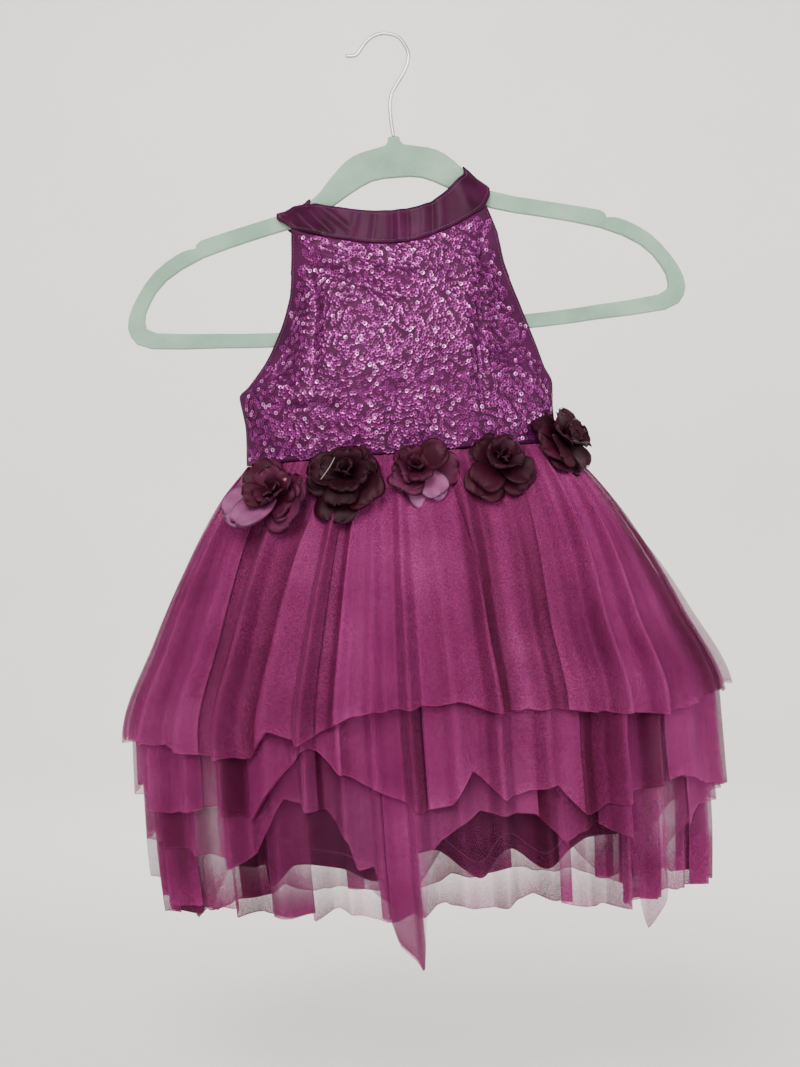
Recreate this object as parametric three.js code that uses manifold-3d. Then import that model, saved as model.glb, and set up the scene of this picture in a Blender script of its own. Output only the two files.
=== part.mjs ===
// A toddler's halter party dress hanging on a flocked hanger. Millimetres, +Z up, +X to the right of a viewer
// at the dress's front, and the front faces -Y. The origin is the inside top of the hanger's hook.
// The dress is a satin neckband over both hanger arms, a sequinned bodice, a satin lining skirt, four tulle
// layers of which three have pointed hems, and five fabric flowers along the waist seam.
import * as THREE from "three";
import { mergeVertices } from "three/addons/utils/BufferGeometryUtils.js";
import Module from "manifold-3d";

const wasm = await Module();
wasm.setup();

// Driving dimensions
const clothThickness = 1.2;
const seamGap = 0.3;
const hangTilt = 4.4; // degrees that the dress and the hanger lean, right side up
const waistFromHook = { x: 12.6, z: -335 }; // the middle of the waist seam
const neckAboveWaist = { x: 13, z: 252.5 }; // where the hook's wire enters the hanger
const backShare = 0.8; // how deep the back of the bodice is, of its front
const hangerThickness = 5.5;
const wire = { diameter: 3, sides: 8, steps: 36 };

const cloth = (color, roughness) => new THREE.MeshStandardMaterial({ color, roughness });
const materials = {
  flock: cloth(0xafc2b2, 0.95),
  steel: new THREE.MeshStandardMaterial({ color: 0xc8c6c4, roughness: 0.25, metalness: 1 }),
  satin: cloth(0x5f2a58, 0.45),
  sequins: new THREE.MeshStandardMaterial({ color: 0x8c3f86, roughness: 0.3, metalness: 0.4 }),
  lining: cloth(0x45193f, 0.5),
  tulle: cloth(0x8e3a6e, 0.85),
  petals: cloth(0x3a1226, 0.5),
};

const { degToRad, lerp, clamp } = THREE.MathUtils;

// One column of a table at a place along its key column, straight between the rows.
function readTable(rows, key, at, column) {
  const last = rows.length - 1;
  if (at <= rows[0][key]) return rows[0][column];
  if (at >= rows[last][key]) return rows[last][column];
  const next = rows.findIndex((row) => row[key] > at);
  const share = (at - rows[next - 1][key]) / (rows[next][key] - rows[next - 1][key]);
  return lerp(rows[next - 1][column], rows[next][column], share);
}

// A cloth wall about a grid of points, grid[row][column], which may close on itself round its columns. With the
// front of the cloth towards the viewer, columns run to the right and rows run down.
function clothWall(grid, closed = false) {
  const rows = grid.length;
  const columns = grid[0].length;
  const across = (column) => (closed ? (column + columns) % columns : clamp(column, 0, columns - 1));
  const down = (row) => clamp(row, 0, rows - 1);
  const outside = [];
  const inside = [];
  for (let row = 0; row < rows; row += 1) {
    for (let column = 0; column < columns; column += 1) {
      const alongRow = grid[row][across(column + 1)].clone().sub(grid[row][across(column - 1)]);
      const alongColumn = grid[down(row + 1)][column].clone().sub(grid[down(row - 1)][column]);
      const half = alongColumn.cross(alongRow).setLength(clothThickness / 2);
      outside.push(grid[row][column].clone().add(half));
      inside.push(grid[row][column].clone().sub(half));
    }
  }
  const index = [];
  const quad = (a, b, c, d) => index.push(a, b, c, a, c, d);
  const at = (row, column) => row * columns + across(column);
  const behind = (row, column) => rows * columns + at(row, column);
  const cells = closed ? columns : columns - 1;
  for (let column = 0; column < cells; column += 1) {
    for (let row = 0; row < rows - 1; row += 1) {
      quad(at(row, column), at(row + 1, column), at(row + 1, column + 1), at(row, column + 1));
      quad(behind(row, column), behind(row, column + 1), behind(row + 1, column + 1), behind(row + 1, column));
    }
    const foot = rows - 1;
    quad(at(0, column), at(0, column + 1), behind(0, column + 1), behind(0, column));
    quad(at(foot, column), behind(foot, column), behind(foot, column + 1), at(foot, column + 1));
  }
  for (let row = 0; !closed && row < rows - 1; row += 1) {
    const end = columns - 1;
    quad(at(row, 0), behind(row, 0), behind(row + 1, 0), at(row + 1, 0));
    quad(at(row, end), at(row + 1, end), behind(row + 1, end), behind(row, end));
  }
  const geometry = new THREE.BufferGeometry();
  const places = [...outside, ...inside].flatMap((point) => point.toArray());
  geometry.setAttribute("position", new THREE.Float32BufferAttribute(places, 3));
  geometry.setIndex(index);
  geometry.computeVertexNormals();
  return geometry;
}

function named(name, geometry, material) {
  const mesh = new THREE.Mesh(geometry, material);
  mesh.name = name;
  return mesh;
}

// The hanger's outline and the gap inside it, each the right half seen from the front, from the hook's neck.
const hangerOutline = [
  { x: 0, z: 1 }, { x: 4.8, z: 0.6 }, { x: 6.8, z: -5.4 }, { x: 26.5, z: -9.6 }, { x: 40, z: -16 },
  { x: 54, z: -29.5 }, { x: 73.5, z: -47.9 }, { x: 112.8, z: -58.6 }, { x: 160, z: -70 }, { x: 164, z: -76 },
  { x: 170.5, z: -76.5 }, { x: 181, z: -80.5 }, { x: 198.5, z: -92 }, { x: 213.3, z: -110 }, { x: 222.3, z: -128 },
  { x: 221.5, z: -143 }, { x: 206, z: -153.4 }, { x: 150, z: -157 }, { x: 110, z: -159.4 }, { x: 0, z: -162.5 },
];
const hangerGap = [
  { x: 0, z: -31.6 }, { x: 20, z: -33.2 }, { x: 39.8, z: -42.9 }, { x: 72.5, z: -61.5 }, { x: 112, z: -71.5 },
  { x: 158.9, z: -84 }, { x: 190, z: -100 }, { x: 204.7, z: -117.7 }, { x: 209.5, z: -132 }, { x: 201, z: -141 },
  { x: 150, z: -145.4 }, { x: 110, z: -148 }, { x: 0, z: -151 },
];
const straightSide = 60; // sides longer than this stay straight when an outline is rounded
const rounding = 1 / 8; // how far a rounding point lies out from its side, as a share of the corners' turn

// A whole outline from its right half, rounded by one point more on each short side.
function mirroredLoop(half) {
  const right = half.map((p) => new THREE.Vector2(p.x, p.z));
  const left = right.slice(1, -1).reverse().map((p) => new THREE.Vector2(-p.x, p.y));
  const points = [...right, ...left];
  const near = (i) => points[(i + points.length) % points.length];
  return points.flatMap((p, i) => {
    if (p.distanceTo(near(i + 1)) > straightSide) return [p];
    const side = p.clone().lerp(near(i + 1), 0.5);
    const around = near(i - 1).clone().lerp(near(i + 2), 0.5);
    return [p, side.add(side.clone().sub(around).multiplyScalar(rounding))];
  });
}
const hangerLoop = mirroredLoop(hangerOutline);

function hangerFrame() {
  const outline = new THREE.Shape(hangerLoop);
  outline.holes.push(new THREE.Path(mirroredLoop(hangerGap).reverse()));
  const geometry = new THREE.ExtrudeGeometry(outline, { depth: hangerThickness, bevelEnabled: false });
  geometry.translate(0, 0, -hangerThickness / 2).rotateX(Math.PI / 2);
  geometry.translate(neckAboveWaist.x, 0, neckAboveWaist.z);
  return named("hanger_frame", geometry, materials.flock);
}

// Height of the hanger arm's top edge above the waist, at x from the middle of the waist.
function armTop(x) {
  const out = Math.abs(x - neckAboveWaist.x);
  const next = hangerLoop.findIndex((p) => p.x > out);
  const from = hangerLoop[next - 1];
  const share = (out - from.x) / (hangerLoop[next].x - from.x);
  return neckAboveWaist.z + lerp(from.y, hangerLoop[next].y, share);
}

// The wire's middle line, up from the hanger's neck and round the hook to its tip.
const hookPath = [
  { x: 6.05, z: -80.85 }, { x: 4.2, z: -69.4 }, { x: 3.2, z: -56.5 }, { x: 4.4, z: -47 }, { x: 8.6, z: -39 },
  { x: 14.2, z: -29.5 }, { x: 17.6, z: -20 }, { x: 17, z: -11.5 }, { x: 10, z: -1.6 }, { x: 0, z: 1.5 },
  { x: -8, z: 0.2 }, { x: -15, z: -4.2 }, { x: -20, z: -10.8 }, { x: -24.4, z: -16 }, { x: -31, z: -16.6 },
];

function hangerHook() {
  const section = new THREE.Shape().absarc(0, 0, wire.diameter / 2, 0, 2 * Math.PI);
  const geometry = new THREE.ExtrudeGeometry(section, {
    steps: wire.steps,
    curveSegments: wire.sides / 2,
    extrudePath: new THREE.CatmullRomCurve3(hookPath.map((p) => new THREE.Vector3(p.x, 0, p.z))),
  });
  return named("hanger_hook", geometry, materials.steel);
}

// The neckband runs over both arms. On an arm its middle surface lies bandSeat above the arm's top edge, and
// its front and back start bandHang below that edge.
const bandSeat = 1.1;
const bandHang = 2.2;
const bandFold = { side: 4, top: 3.5 }; // how far from the middle plane it passes the arm and turns over it
const bandDepth = { front: 13, back: 11 }; // how much further out the middle of the front and back stand
const bandSagBack = 6;
const bandSwell = { power: 0.8, topShare: 0.75 }; // how soon it swells out from the arms, and its top edge's part
const bandColumns = 17;
const bandEnds = { left: { top: -57.5, bottom: -85 }, right: { top: 66.5, bottom: 86 } };

function aboveArm(x, lift) {
  const slope = (armTop(x + 1) - armTop(x - 1)) / 2;
  return armTop(x) + lift * Math.hypot(1, slope);
}
const onArm = (x) => ({ x, z: aboveArm(x, -bandHang) });

// The neckband's two edges across the front, from the left arm to the right.
const bandTop = [
  onArm(bandEnds.left.top), { x: -50, z: 202.3 }, { x: -35, z: 199 }, { x: -18, z: 195 }, { x: 0, z: 193 },
  { x: 18, z: 193.2 }, { x: 34, z: 196 }, { x: 46, z: 202 }, { x: 56.5, z: 210.5 }, onArm(bandEnds.right.top),
];
const bandBottom = [
  onArm(bandEnds.left.bottom), { x: -73, z: 185.4 }, { x: -57, z: 178.8 }, { x: -30, z: 171.6 }, { x: -4, z: 166.8 },
  { x: 22, z: 167.2 }, { x: 50, z: 174.6 }, { x: 70, z: 184 }, { x: 81, z: 191 }, onArm(bandEnds.right.bottom),
];
const splineOf = (points) => new THREE.SplineCurve(points.map((p) => new THREE.Vector2(p.x, p.z)));
const bandEdges = { top: splineOf(bandTop), bottom: splineOf(bandBottom) };

// A point on the band: share runs from the left arm to the right, across runs from its top edge to its bottom
// edge, and side is -1 at the front and 1 at the back.
function bandPoint(share, across, side) {
  const flat = bandEdges.top.getPoint(share).lerp(bandEdges.bottom.getPoint(share), across);
  const swell = Math.sin(Math.PI * share) ** bandSwell.power;
  const lean = lerp(bandSwell.topShare, 1, across);
  const depth = side < 0 ? bandDepth.front : bandDepth.back;
  const sag = side < 0 ? 0 : bandSagBack * swell;
  return new THREE.Vector3(flat.x, side * (bandFold.side + depth * swell * lean), flat.y - sag);
}

function neckband() {
  const acrossSteps = [0, 0.5, 1];
  const face = (across, side) => Array.from({ length: bandColumns }, (_, i) => {
    const share = i / (bandColumns - 1);
    return bandPoint(side < 0 ? share : 1 - share, across, side);
  });
  const overArm = (end, across, turns) => turns.map((turn) => {
    const x = lerp(end.top, end.bottom, across);
    return new THREE.Vector3(x, turn * bandFold.top, aboveArm(x, bandSeat));
  });
  const grid = acrossSteps.map((across) => [
    ...face(across, -1), ...overArm(bandEnds.right, across, [-1, 0, 1]),
    ...face(across, 1), ...overArm(bandEnds.left, across, [1, 0, -1]),
  ]);
  return named("neckband", clothWall(grid, true), materials.satin);
}

// The button that laps the band shut at the nape, just proud of the band.
const button = { radius: 4.5, thickness: 3, sides: 12, share: 0.46 };

function neckbandButton() {
  const geometry = new THREE.CylinderGeometry(button.radius, button.radius, button.thickness, button.sides);
  const seat = bandPoint(button.share, 0.5, 1);
  const steepness = Math.atan2(
    bandPoint(button.share, 1, 1).y - bandPoint(button.share, 0, 1).y,
    bandPoint(button.share, 0, 1).z - bandPoint(button.share, 1, 1).z,
  );
  const proud = clothThickness / 2 + seamGap + button.thickness / 2;
  geometry.translate(0, proud, 0).rotateX(steepness).translate(seat.x, seat.y, seat.z);
  return named("neckband_button", geometry, materials.satin);
}

// Rows of the bodice from the neck seam to the waist: both edges, how far the edges stand from the middle plane,
// how much further the middle stands out, and the power and roundness of the section's curve.
const bodiceRows = [
  { leftX: -74, leftZ: 184, rightX: 83.5, rightZ: 192, edge: 5.2, depth: 12.5, power: 2.2, round: 0.9 },
  { leftX: -76.5, leftZ: 153, rightX: 93, rightZ: 158, edge: 5, depth: 17, power: 2.6, round: 0.95 },
  { leftX: -84, leftZ: 123, rightX: 101, rightZ: 123, edge: 5, depth: 21, power: 3, round: 1 },
  { leftX: -93.5, leftZ: 98.7, rightX: 107.5, rightZ: 98, edge: 5, depth: 24, power: 3, round: 1 },
  { leftX: -104, leftZ: 79, rightX: 113.5, rightZ: 78, edge: 4.4, depth: 27, power: 3, round: 0.95 },
  { leftX: -117, leftZ: 63, rightX: 118.5, rightZ: 61, edge: 2.6, depth: 29.5, power: 2.8, round: 0.85 },
  { leftX: -125.5, leftZ: 54, rightX: 124, rightZ: 47, edge: 0.6, depth: 31, power: 2.6, round: 0.68 },
  { leftX: -122.5, leftZ: 28, rightX: 123, rightZ: 27, edge: 0.6, depth: 31, power: 2.6, round: 0.64 },
  { leftX: -124, leftZ: 0, rightX: 124, rightZ: 0, edge: 0.6, depth: 30, power: 2.6, round: 0.62 },
];
const neckSeamGap = 0.6; // straight down, which is less across the sloping seam
const neckSeam = { left: 0.105, right: 0.905 }; // where the armhole edges meet the band, as shares of its length
const sideSeamEdge = 1; // below the armholes the edges stand less than this from the middle plane
const backArmholeInset = 1.5; // the back's armhole edges lie this far inside the front's
const sagFade = { foot: 60, power: 1.6 }; // the neck seam's sag dies away down to this height

// The neck seam follows the band's lower edge. Place runs from -1 at the panel's left edge to 1 at its right.
function neckSeamPoint(place, side) {
  const point = bandPoint(lerp(neckSeam.left, neckSeam.right, (place + 1) / 2), 1, side);
  point.z -= neckSeamGap;
  return point;
}

function bodicePoint(row, place, side) {
  if (row === bodiceRows[0]) return neckSeamPoint(place, side);
  const inset = side > 0 && row.edge > sideSeamEdge ? backArmholeInset : 0;
  const half = (row.rightX - row.leftX) / 2 - inset;
  const depth = side < 0 ? row.depth : row.depth * backShare;
  const heightAt = (edges) => lerp(edges.leftZ, edges.rightZ, (place + 1) / 2);
  const topRow = bodiceRows[0];
  const sag = neckSeamPoint(place, side).z - heightAt(topRow);
  const above = Math.max(0, row.leftZ - sagFade.foot) / (topRow.leftZ - sagFade.foot);
  return new THREE.Vector3(
    (row.leftX + row.rightX) / 2 + half * place,
    side * (row.edge + depth * (1 - Math.abs(place) ** row.power) ** row.round),
    heightAt(row) + sag * above ** sagFade.power,
  );
}

function bodicePanel(name, side, from, to, columns) {
  const places = Array.from({ length: columns }, (_, i) => (
    Math.cos(lerp(Math.acos(from), Math.acos(to), i / (columns - 1)))
  ));
  const grid = bodiceRows.map((row) => places.map((place) => bodicePoint(row, place, side)));
  return named(name, clothWall(grid), materials.sequins);
}

const bodiceColumns = { front: 21, backHalf: 10 };
const slitHalf = 0.004; // half the centre back slit, as a share of the panel's half width

// Plain rings of the lining and of the innermost tulle layer at their drops below the waist: how far they reach
// to the right, to the left, to the front and to the back.
const liningRings = [
  { drop: 0, right: 114, left: 114, front: 20, back: 14 },
  { drop: 71, right: 138.5, left: 138, front: 33, back: 24 },
  { drop: 205, right: 157, left: 157, front: 53, back: 35 },
  { drop: 330, right: 165, left: 163, front: 62, back: 38 },
];
const tulleRings = [
  { drop: 0, right: 116.8, left: 116.8, front: 22.8, back: 16.8 },
  { drop: 25, right: 133, left: 132, front: 30, back: 23 },
  { drop: 71, right: 160, left: 157, front: 46, back: 35 },
  { drop: 135, right: 192, left: 186, front: 64, back: 45 },
  { drop: 205, right: 219, left: 212.5, front: 79, back: 52 },
  { drop: 290, right: 219, left: 214, front: 87, back: 56 },
  { drop: 380, right: 213, left: 209, front: 90, back: 58 },
];

// How far each tulle layer lies outside the innermost one.
const layerOutsets = [
  { drop: 0, even: 0, long: 2.4, middle: 4.8, top: 7.2 }, { drop: 25, even: 0, long: 4.7, middle: 9.3, top: 14 },
  { drop: 71, even: 0, long: 6, middle: 12, top: 18 }, { drop: 135, even: 0, long: 7, middle: 14, top: 21 },
  { drop: 205, even: 0, long: 7.5, middle: 15, top: 23.5 },
];

// The tulle's folds round the skirt: the angle of each ridge in degrees from the right side through the front,
// how strongly it stands out, and how far below the waist each layer's hem is there.
const tulleFolds = [
  { at: 4, lift: 0.5, even: 354, long: 282, middle: 268, top: 198 },
  { at: 16, lift: 0.8, even: 358, long: 292, middle: 286, top: 206 },
  { at: 28, lift: 0.6, even: 356, long: 346, middle: 262, top: 212 },
  { at: 39, lift: 1.2, even: 353, long: 374, middle: 272, top: 213 },
  { at: 50, lift: 1.3, even: 350, long: 302, middle: 278, top: 216 },
  { at: 58.5, lift: 0.5, even: 352, long: 292, middle: 286, top: 206 },
  { at: 66, lift: 0.8, even: 357, long: 303, middle: 262, top: 203 },
  { at: 76, lift: 1.1, even: 343, long: 281, middle: 266, top: 200 },
  { at: 84, lift: 0.5, even: 339, long: 274, middle: 244, top: 189 },
  { at: 92.5, lift: 1.3, even: 344, long: 379, middle: 271, top: 191 },
  { at: 100, lift: 0.6, even: 341, long: 306, middle: 258, top: 194 },
  { at: 107, lift: 0.9, even: 350, long: 316, middle: 237, top: 199 },
  { at: 114, lift: 1.2, even: 343, long: 262, middle: 216, top: 214 },
  { at: 123, lift: 0.5, even: 340, long: 256, middle: 234, top: 203 },
  { at: 133, lift: 1.2, even: 344, long: 306, middle: 260, top: 223 },
  { at: 145, lift: 0.7, even: 341, long: 302, middle: 268, top: 211 },
  { at: 157, lift: 1, even: 341, long: 343, middle: 264, top: 210 },
  { at: 169, lift: 0.6, even: 348, long: 328, middle: 252, top: 214 },
  { at: 181, lift: 0.7, even: 350, long: 320, middle: 246, top: 208 },
  { at: 194, lift: 0.9, even: 352, long: 340, middle: 254, top: 200 },
  { at: 207, lift: 1.1, even: 357, long: 366, middle: 250, top: 214 },
  { at: 221, lift: 0.6, even: 352, long: 318, middle: 244, top: 220 },
  { at: 235, lift: 1.2, even: 348, long: 286, middle: 276, top: 202 },
  { at: 248, lift: 0.7, even: 354, long: 330, middle: 288, top: 196 },
  { at: 261, lift: 1, even: 358, long: 378, middle: 254, top: 210 },
  { at: 274, lift: 1.3, even: 350, long: 322, middle: 240, top: 218 },
  { at: 288, lift: 0.6, even: 347, long: 284, middle: 270, top: 203 },
  { at: 302, lift: 1, even: 354, long: 336, middle: 290, top: 196 },
  { at: 316, lift: 1.2, even: 358, long: 370, middle: 256, top: 212 },
  { at: 330, lift: 0.7, even: 352, long: 304, middle: 246, top: 217 },
  { at: 343, lift: 0.8, even: 350, long: 284, middle: 272, top: 204 },
];
const liningFolds = [
  { at: 10, lift: 0.6, lining: 314 }, { at: 31, lift: 0.9, lining: 312 }, { at: 59, lift: 1, lining: 326 },
  { at: 78, lift: 1.1, lining: 328 }, { at: 92, lift: 0.9, lining: 308 }, { at: 106, lift: 1, lining: 324 },
  { at: 138, lift: 1.2, lining: 327 }, { at: 163, lift: 0.7, lining: 312 }, { at: 190, lift: 0.6, lining: 318 },
  { at: 215, lift: 1, lining: 324 }, { at: 240, lift: 0.9, lining: 326 }, { at: 264, lift: 1, lining: 320 },
  { at: 288, lift: 0.9, lining: 327 }, { at: 313, lift: 1, lining: 322 }, { at: 340, lift: 0.7, lining: 316 },
];

// How deep the folds are at each drop, for the tulle and for the lining.
const foldDepths = [
  { drop: 0, tulle: 0.4, lining: 0 }, { drop: 25, tulle: 2.6, lining: 0.8 },
  { drop: 71, tulle: 5.2, lining: 2 }, { drop: 135, tulle: 7.6, lining: 3.5 },
  { drop: 205, tulle: 9.4, lining: 5.5 }, { drop: 330, tulle: 10.5, lining: 8 },
];
const foldShape = [1, -0.4, -0.4]; // a ridge and the two sides of the valley after it

// The section's curve is blunt at the sides of the waist and nearly an ellipse further down.
const sectionRows = [
  { drop: 0, power: 2.6, round: 0.62 }, { drop: 71, power: 2.2, round: 0.56 }, { drop: 205, power: 2, round: 0.5 },
];
const normalStep = 1.5; // degrees to each side, to find which way a ring faces
const tallestLift = 1.3;
const rimRise = 0.4; // the flared top rim of a skirt layer stands this much higher at its outer face

function ringPoint(rings, drop, degrees) {
  const power = readTable(sectionRows, "drop", drop, "power");
  const round = readTable(sectionRows, "drop", drop, "round");
  const sideways = Math.cos(degToRad(degrees));
  const depth = Math.max(0, 1 - Math.abs(sideways) ** power) ** round;
  const isFront = Math.sin(degToRad(degrees)) > 0;
  const reach = isFront ? -readTable(rings, "drop", drop, "front") : readTable(rings, "drop", drop, "back");
  const half = readTable(rings, "drop", drop, sideways > 0 ? "right" : "left");
  return new THREE.Vector2(half * sideways, reach * depth);
}

function skirtPoint(rings, drop, degrees, outset) {
  const ahead = ringPoint(rings, drop, degrees + normalStep);
  const behind = ringPoint(rings, drop, degrees - normalStep);
  const outward = new THREE.Vector2(behind.y - ahead.y, ahead.x - behind.x).normalize();
  const flat = ringPoint(rings, drop, degrees).addScaledVector(outward, outset);
  return new THREE.Vector3(flat.x, flat.y, -seamGap - rimRise - drop);
}

// A layer has a ring of points at each of its drops and a last ring at its hem. Nested layers share their rings,
// folds and drops, so that they run side by side.
function skirtLayer(layer, rings, folds, drops, material) {
  const kind = layer === "lining" ? "lining" : "tulle";
  const columns = folds.flatMap((fold, i) => foldShape.map((out, k) => {
    const next = folds[(i + 1) % folds.length];
    const share = k / foldShape.length;
    const span = (next.at - fold.at + 360) % 360;
    return {
      at: fold.at + span * share,
      out: out * lerp(fold.lift, next.lift, share),
      hem: lerp(fold[layer], next[layer], share),
    };
  }));
  // Angles run from the right through the front to the left, so they are turned round to face outwards.
  columns.reverse();
  const ringAt = (dropOf) => columns.map((column) => {
    const drop = dropOf(column);
    const outset = kind === "tulle" ? readTable(layerOutsets, "drop", drop, layer) : 0;
    return skirtPoint(rings, drop, column.at, outset + readTable(foldDepths, "drop", drop, kind) * column.out);
  });
  const grid = [...drops.map((drop) => ringAt(() => drop)), ringAt((column) => column.hem)];
  return named(`skirt_${layer}`, clothWall(grid, true), material);
}

// The flowers from left to right: the angle and drop on the skirt where each is sewn, how far its back stands
// from the layer's ridges, its size, how it is spun, and how far it faces to the side and upwards.
const flowers = [
  { at: 142, drop: 22, stand: 1, size: 1.14, spin: 10, aside: -28, up: 24 },
  { at: 112, drop: 7.5, stand: 1.5, size: 1.08, spin: 50, aside: -10, up: 22 },
  { at: 81.5, drop: 10, stand: 0, size: 0.94, spin: 95, aside: 2, up: 20 },
  { at: 56, drop: 8, stand: 0, size: 1, spin: 20, aside: 14, up: 24 },
  { at: 9, drop: 3, stand: 0.8, size: 1.04, spin: 70, aside: 52, up: 27 },
];
const petalRings = [
  { count: 5, reach: 25, width: 22, open: 72, turn: 0, rise: 0, alongSteps: 3 },
  { count: 3, reach: 16, width: 15, open: 36, turn: 30, rise: 1.5, alongSteps: 2 },
];
const petal = { acrossSteps: 3, cup: 4, rootWidth: 0.26, rootOut: 2.6, roundTip: 0.12 };
const petalBulge = { root: 0.05, tip: 0.8 }; // the part of a half wave that a petal's width follows
const flowerPad = { radius: 5.5, thickness: 3, sides: 8, standOff: 4.5 };

// One petal from its root at the origin, leaning out from +Z by its opening angle and cupped both ways.
function petalSolid(ring, number) {
  const grid = Array.from({ length: ring.alongSteps + 1 }, (_, i) => {
    const along = i / ring.alongSteps;
    const bulge = Math.sin(Math.PI * lerp(petalBulge.root, petalBulge.tip, along));
    const width = (ring.width / 2) * Math.max(petal.rootWidth, bulge);
    return Array.from({ length: petal.acrossSteps }, (__, k) => {
      const across = (2 * k) / (petal.acrossSteps - 1) - 1;
      const shorter = 1 - petal.roundTip * across * across;
      const bend = petal.cup * (across * across * along - along * along);
      return new THREE.Vector3(across * width, bend, along * ring.reach * shorter);
    });
  });
  const turn = ring.turn + (360 / ring.count) * number;
  const leaning = toSolid(clothWall(grid)).rotate([ring.open, 0, 0]);
  return leaning.translate([0, -petal.rootOut, ring.rise]).rotate([0, 0, turn]);
}

function toSolid(geometry) {
  const positions = new THREE.BufferGeometry();
  positions.setAttribute("position", geometry.getAttribute("position"));
  positions.setIndex(geometry.index);
  const merged = mergeVertices(positions);
  return new wasm.Manifold(new wasm.Mesh({
    numProp: 3,
    vertProperties: merged.getAttribute("position").array,
    triVerts: new Uint32Array(merged.index.array),
  }));
}

// A flower opens towards +Z from the back of its sewn pad, which is at the origin.
function flowerGeometry() {
  const pad = new THREE.CylinderGeometry(
    flowerPad.radius, flowerPad.radius, flowerPad.thickness + flowerPad.standOff, flowerPad.sides,
  ).rotateX(Math.PI / 2).translate(0, 0, (flowerPad.thickness + flowerPad.standOff) / 2);
  let whole = toSolid(pad);
  petalRings.forEach((ring) => {
    for (let number = 0; number < ring.count; number += 1) {
      whole = whole.add(petalSolid(ring, number).translate([0, 0, flowerPad.standOff]));
    }
  });
  const mesh = whole.getMesh();
  const geometry = new THREE.BufferGeometry();
  geometry.setAttribute("position", new THREE.BufferAttribute(mesh.vertProperties, 3));
  geometry.setIndex(new THREE.BufferAttribute(mesh.triVerts, 1));
  geometry.computeVertexNormals();
  return geometry;
}

function flowerAt(flower, number) {
  const mesh = named(`flower_${number + 1}`, flowerGeometry(), materials.petals);
  const outset = readTable(layerOutsets, "drop", flower.drop, "top");
  const ridge = readTable(foldDepths, "drop", flower.drop, "tulle") * tallestLift;
  const seat = outset + ridge + clothThickness / 2 + flower.stand;
  mesh.position.copy(skirtPoint(tulleRings, flower.drop, flower.at, seat));
  mesh.scale.setScalar(flower.size);
  mesh.rotation.order = "ZXY";
  mesh.rotation.set(degToRad(90 - flower.up), 0, degToRad(flower.aside));
  mesh.rotateZ(degToRad(flower.spin));
  return mesh;
}

const tulleDrops = [0, 25, 71, 135, 205];
const garment = new THREE.Group();
garment.position.set(waistFromHook.x, 0, waistFromHook.z);
garment.rotation.y = degToRad(-hangTilt);
garment.add(
  hangerFrame(),
  neckband(),
  neckbandButton(),
  bodicePanel("bodice_front", -1, -1, 1, bodiceColumns.front),
  bodicePanel("bodice_back_right", 1, 1, slitHalf, bodiceColumns.backHalf),
  bodicePanel("bodice_back_left", 1, -slitHalf, -1, bodiceColumns.backHalf),
  skirtLayer("lining", liningRings, liningFolds, [0, 71, 205], materials.lining),
  skirtLayer("even", tulleRings, tulleFolds, tulleDrops, materials.tulle),
  skirtLayer("long", tulleRings, tulleFolds, tulleDrops, materials.tulle),
  skirtLayer("middle", tulleRings, tulleFolds, tulleDrops, materials.tulle),
  skirtLayer("top", tulleRings, tulleFolds, tulleDrops.slice(0, -1), materials.tulle),
  ...flowers.map(flowerAt),
);

const dress = new THREE.Group();
dress.add(hangerHook(), garment);

export default dress;
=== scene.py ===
# A toddler's halter party dress on a flocked hanger: satin neckband, sequinned bodice, satin lining skirt, four tulle
# layers, and five satin flowers sewn along the waist. The frame is the CAD's: metres, the hook's inside top at the
# origin, +Z up and the dress's front towards -Y. Sizes in the tables are millimetres from the middle of the waist.
import math

import bmesh
import bpy
import numpy as np
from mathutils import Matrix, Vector
from mathutils.bvhtree import BVHTree


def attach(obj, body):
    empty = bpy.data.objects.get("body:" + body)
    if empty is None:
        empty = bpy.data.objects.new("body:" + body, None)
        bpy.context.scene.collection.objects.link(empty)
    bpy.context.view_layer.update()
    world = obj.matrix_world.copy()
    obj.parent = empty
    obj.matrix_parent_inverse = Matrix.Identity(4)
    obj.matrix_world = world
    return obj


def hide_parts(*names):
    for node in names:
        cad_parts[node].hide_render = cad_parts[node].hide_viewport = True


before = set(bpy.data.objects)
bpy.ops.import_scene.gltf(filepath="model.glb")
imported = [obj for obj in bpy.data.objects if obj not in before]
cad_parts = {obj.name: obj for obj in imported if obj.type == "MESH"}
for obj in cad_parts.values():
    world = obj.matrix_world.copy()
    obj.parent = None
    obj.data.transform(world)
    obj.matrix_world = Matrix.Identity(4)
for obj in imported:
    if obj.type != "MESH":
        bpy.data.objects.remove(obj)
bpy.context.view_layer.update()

garment = {"tilt": 4.4, "waistX": 12.6, "waistZ": -335.0, "neckX": 13.0, "neckZ": 252.5, "seamGap": 0.3}


def placed(points):
    # garment millimetres to the row's metres
    points = np.asarray(points, float)
    turn = math.radians(garment["tilt"])
    x, y, z = points[..., 0], points[..., 1], points[..., 2]
    right = x * math.cos(turn) - z * math.sin(turn) + garment["waistX"]
    up = x * math.sin(turn) + z * math.cos(turn) + garment["waistZ"]
    return np.stack([right, y, up], -1) / 1000


def col(rows, key):
    return np.array([row[key] for row in rows], float)


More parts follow.
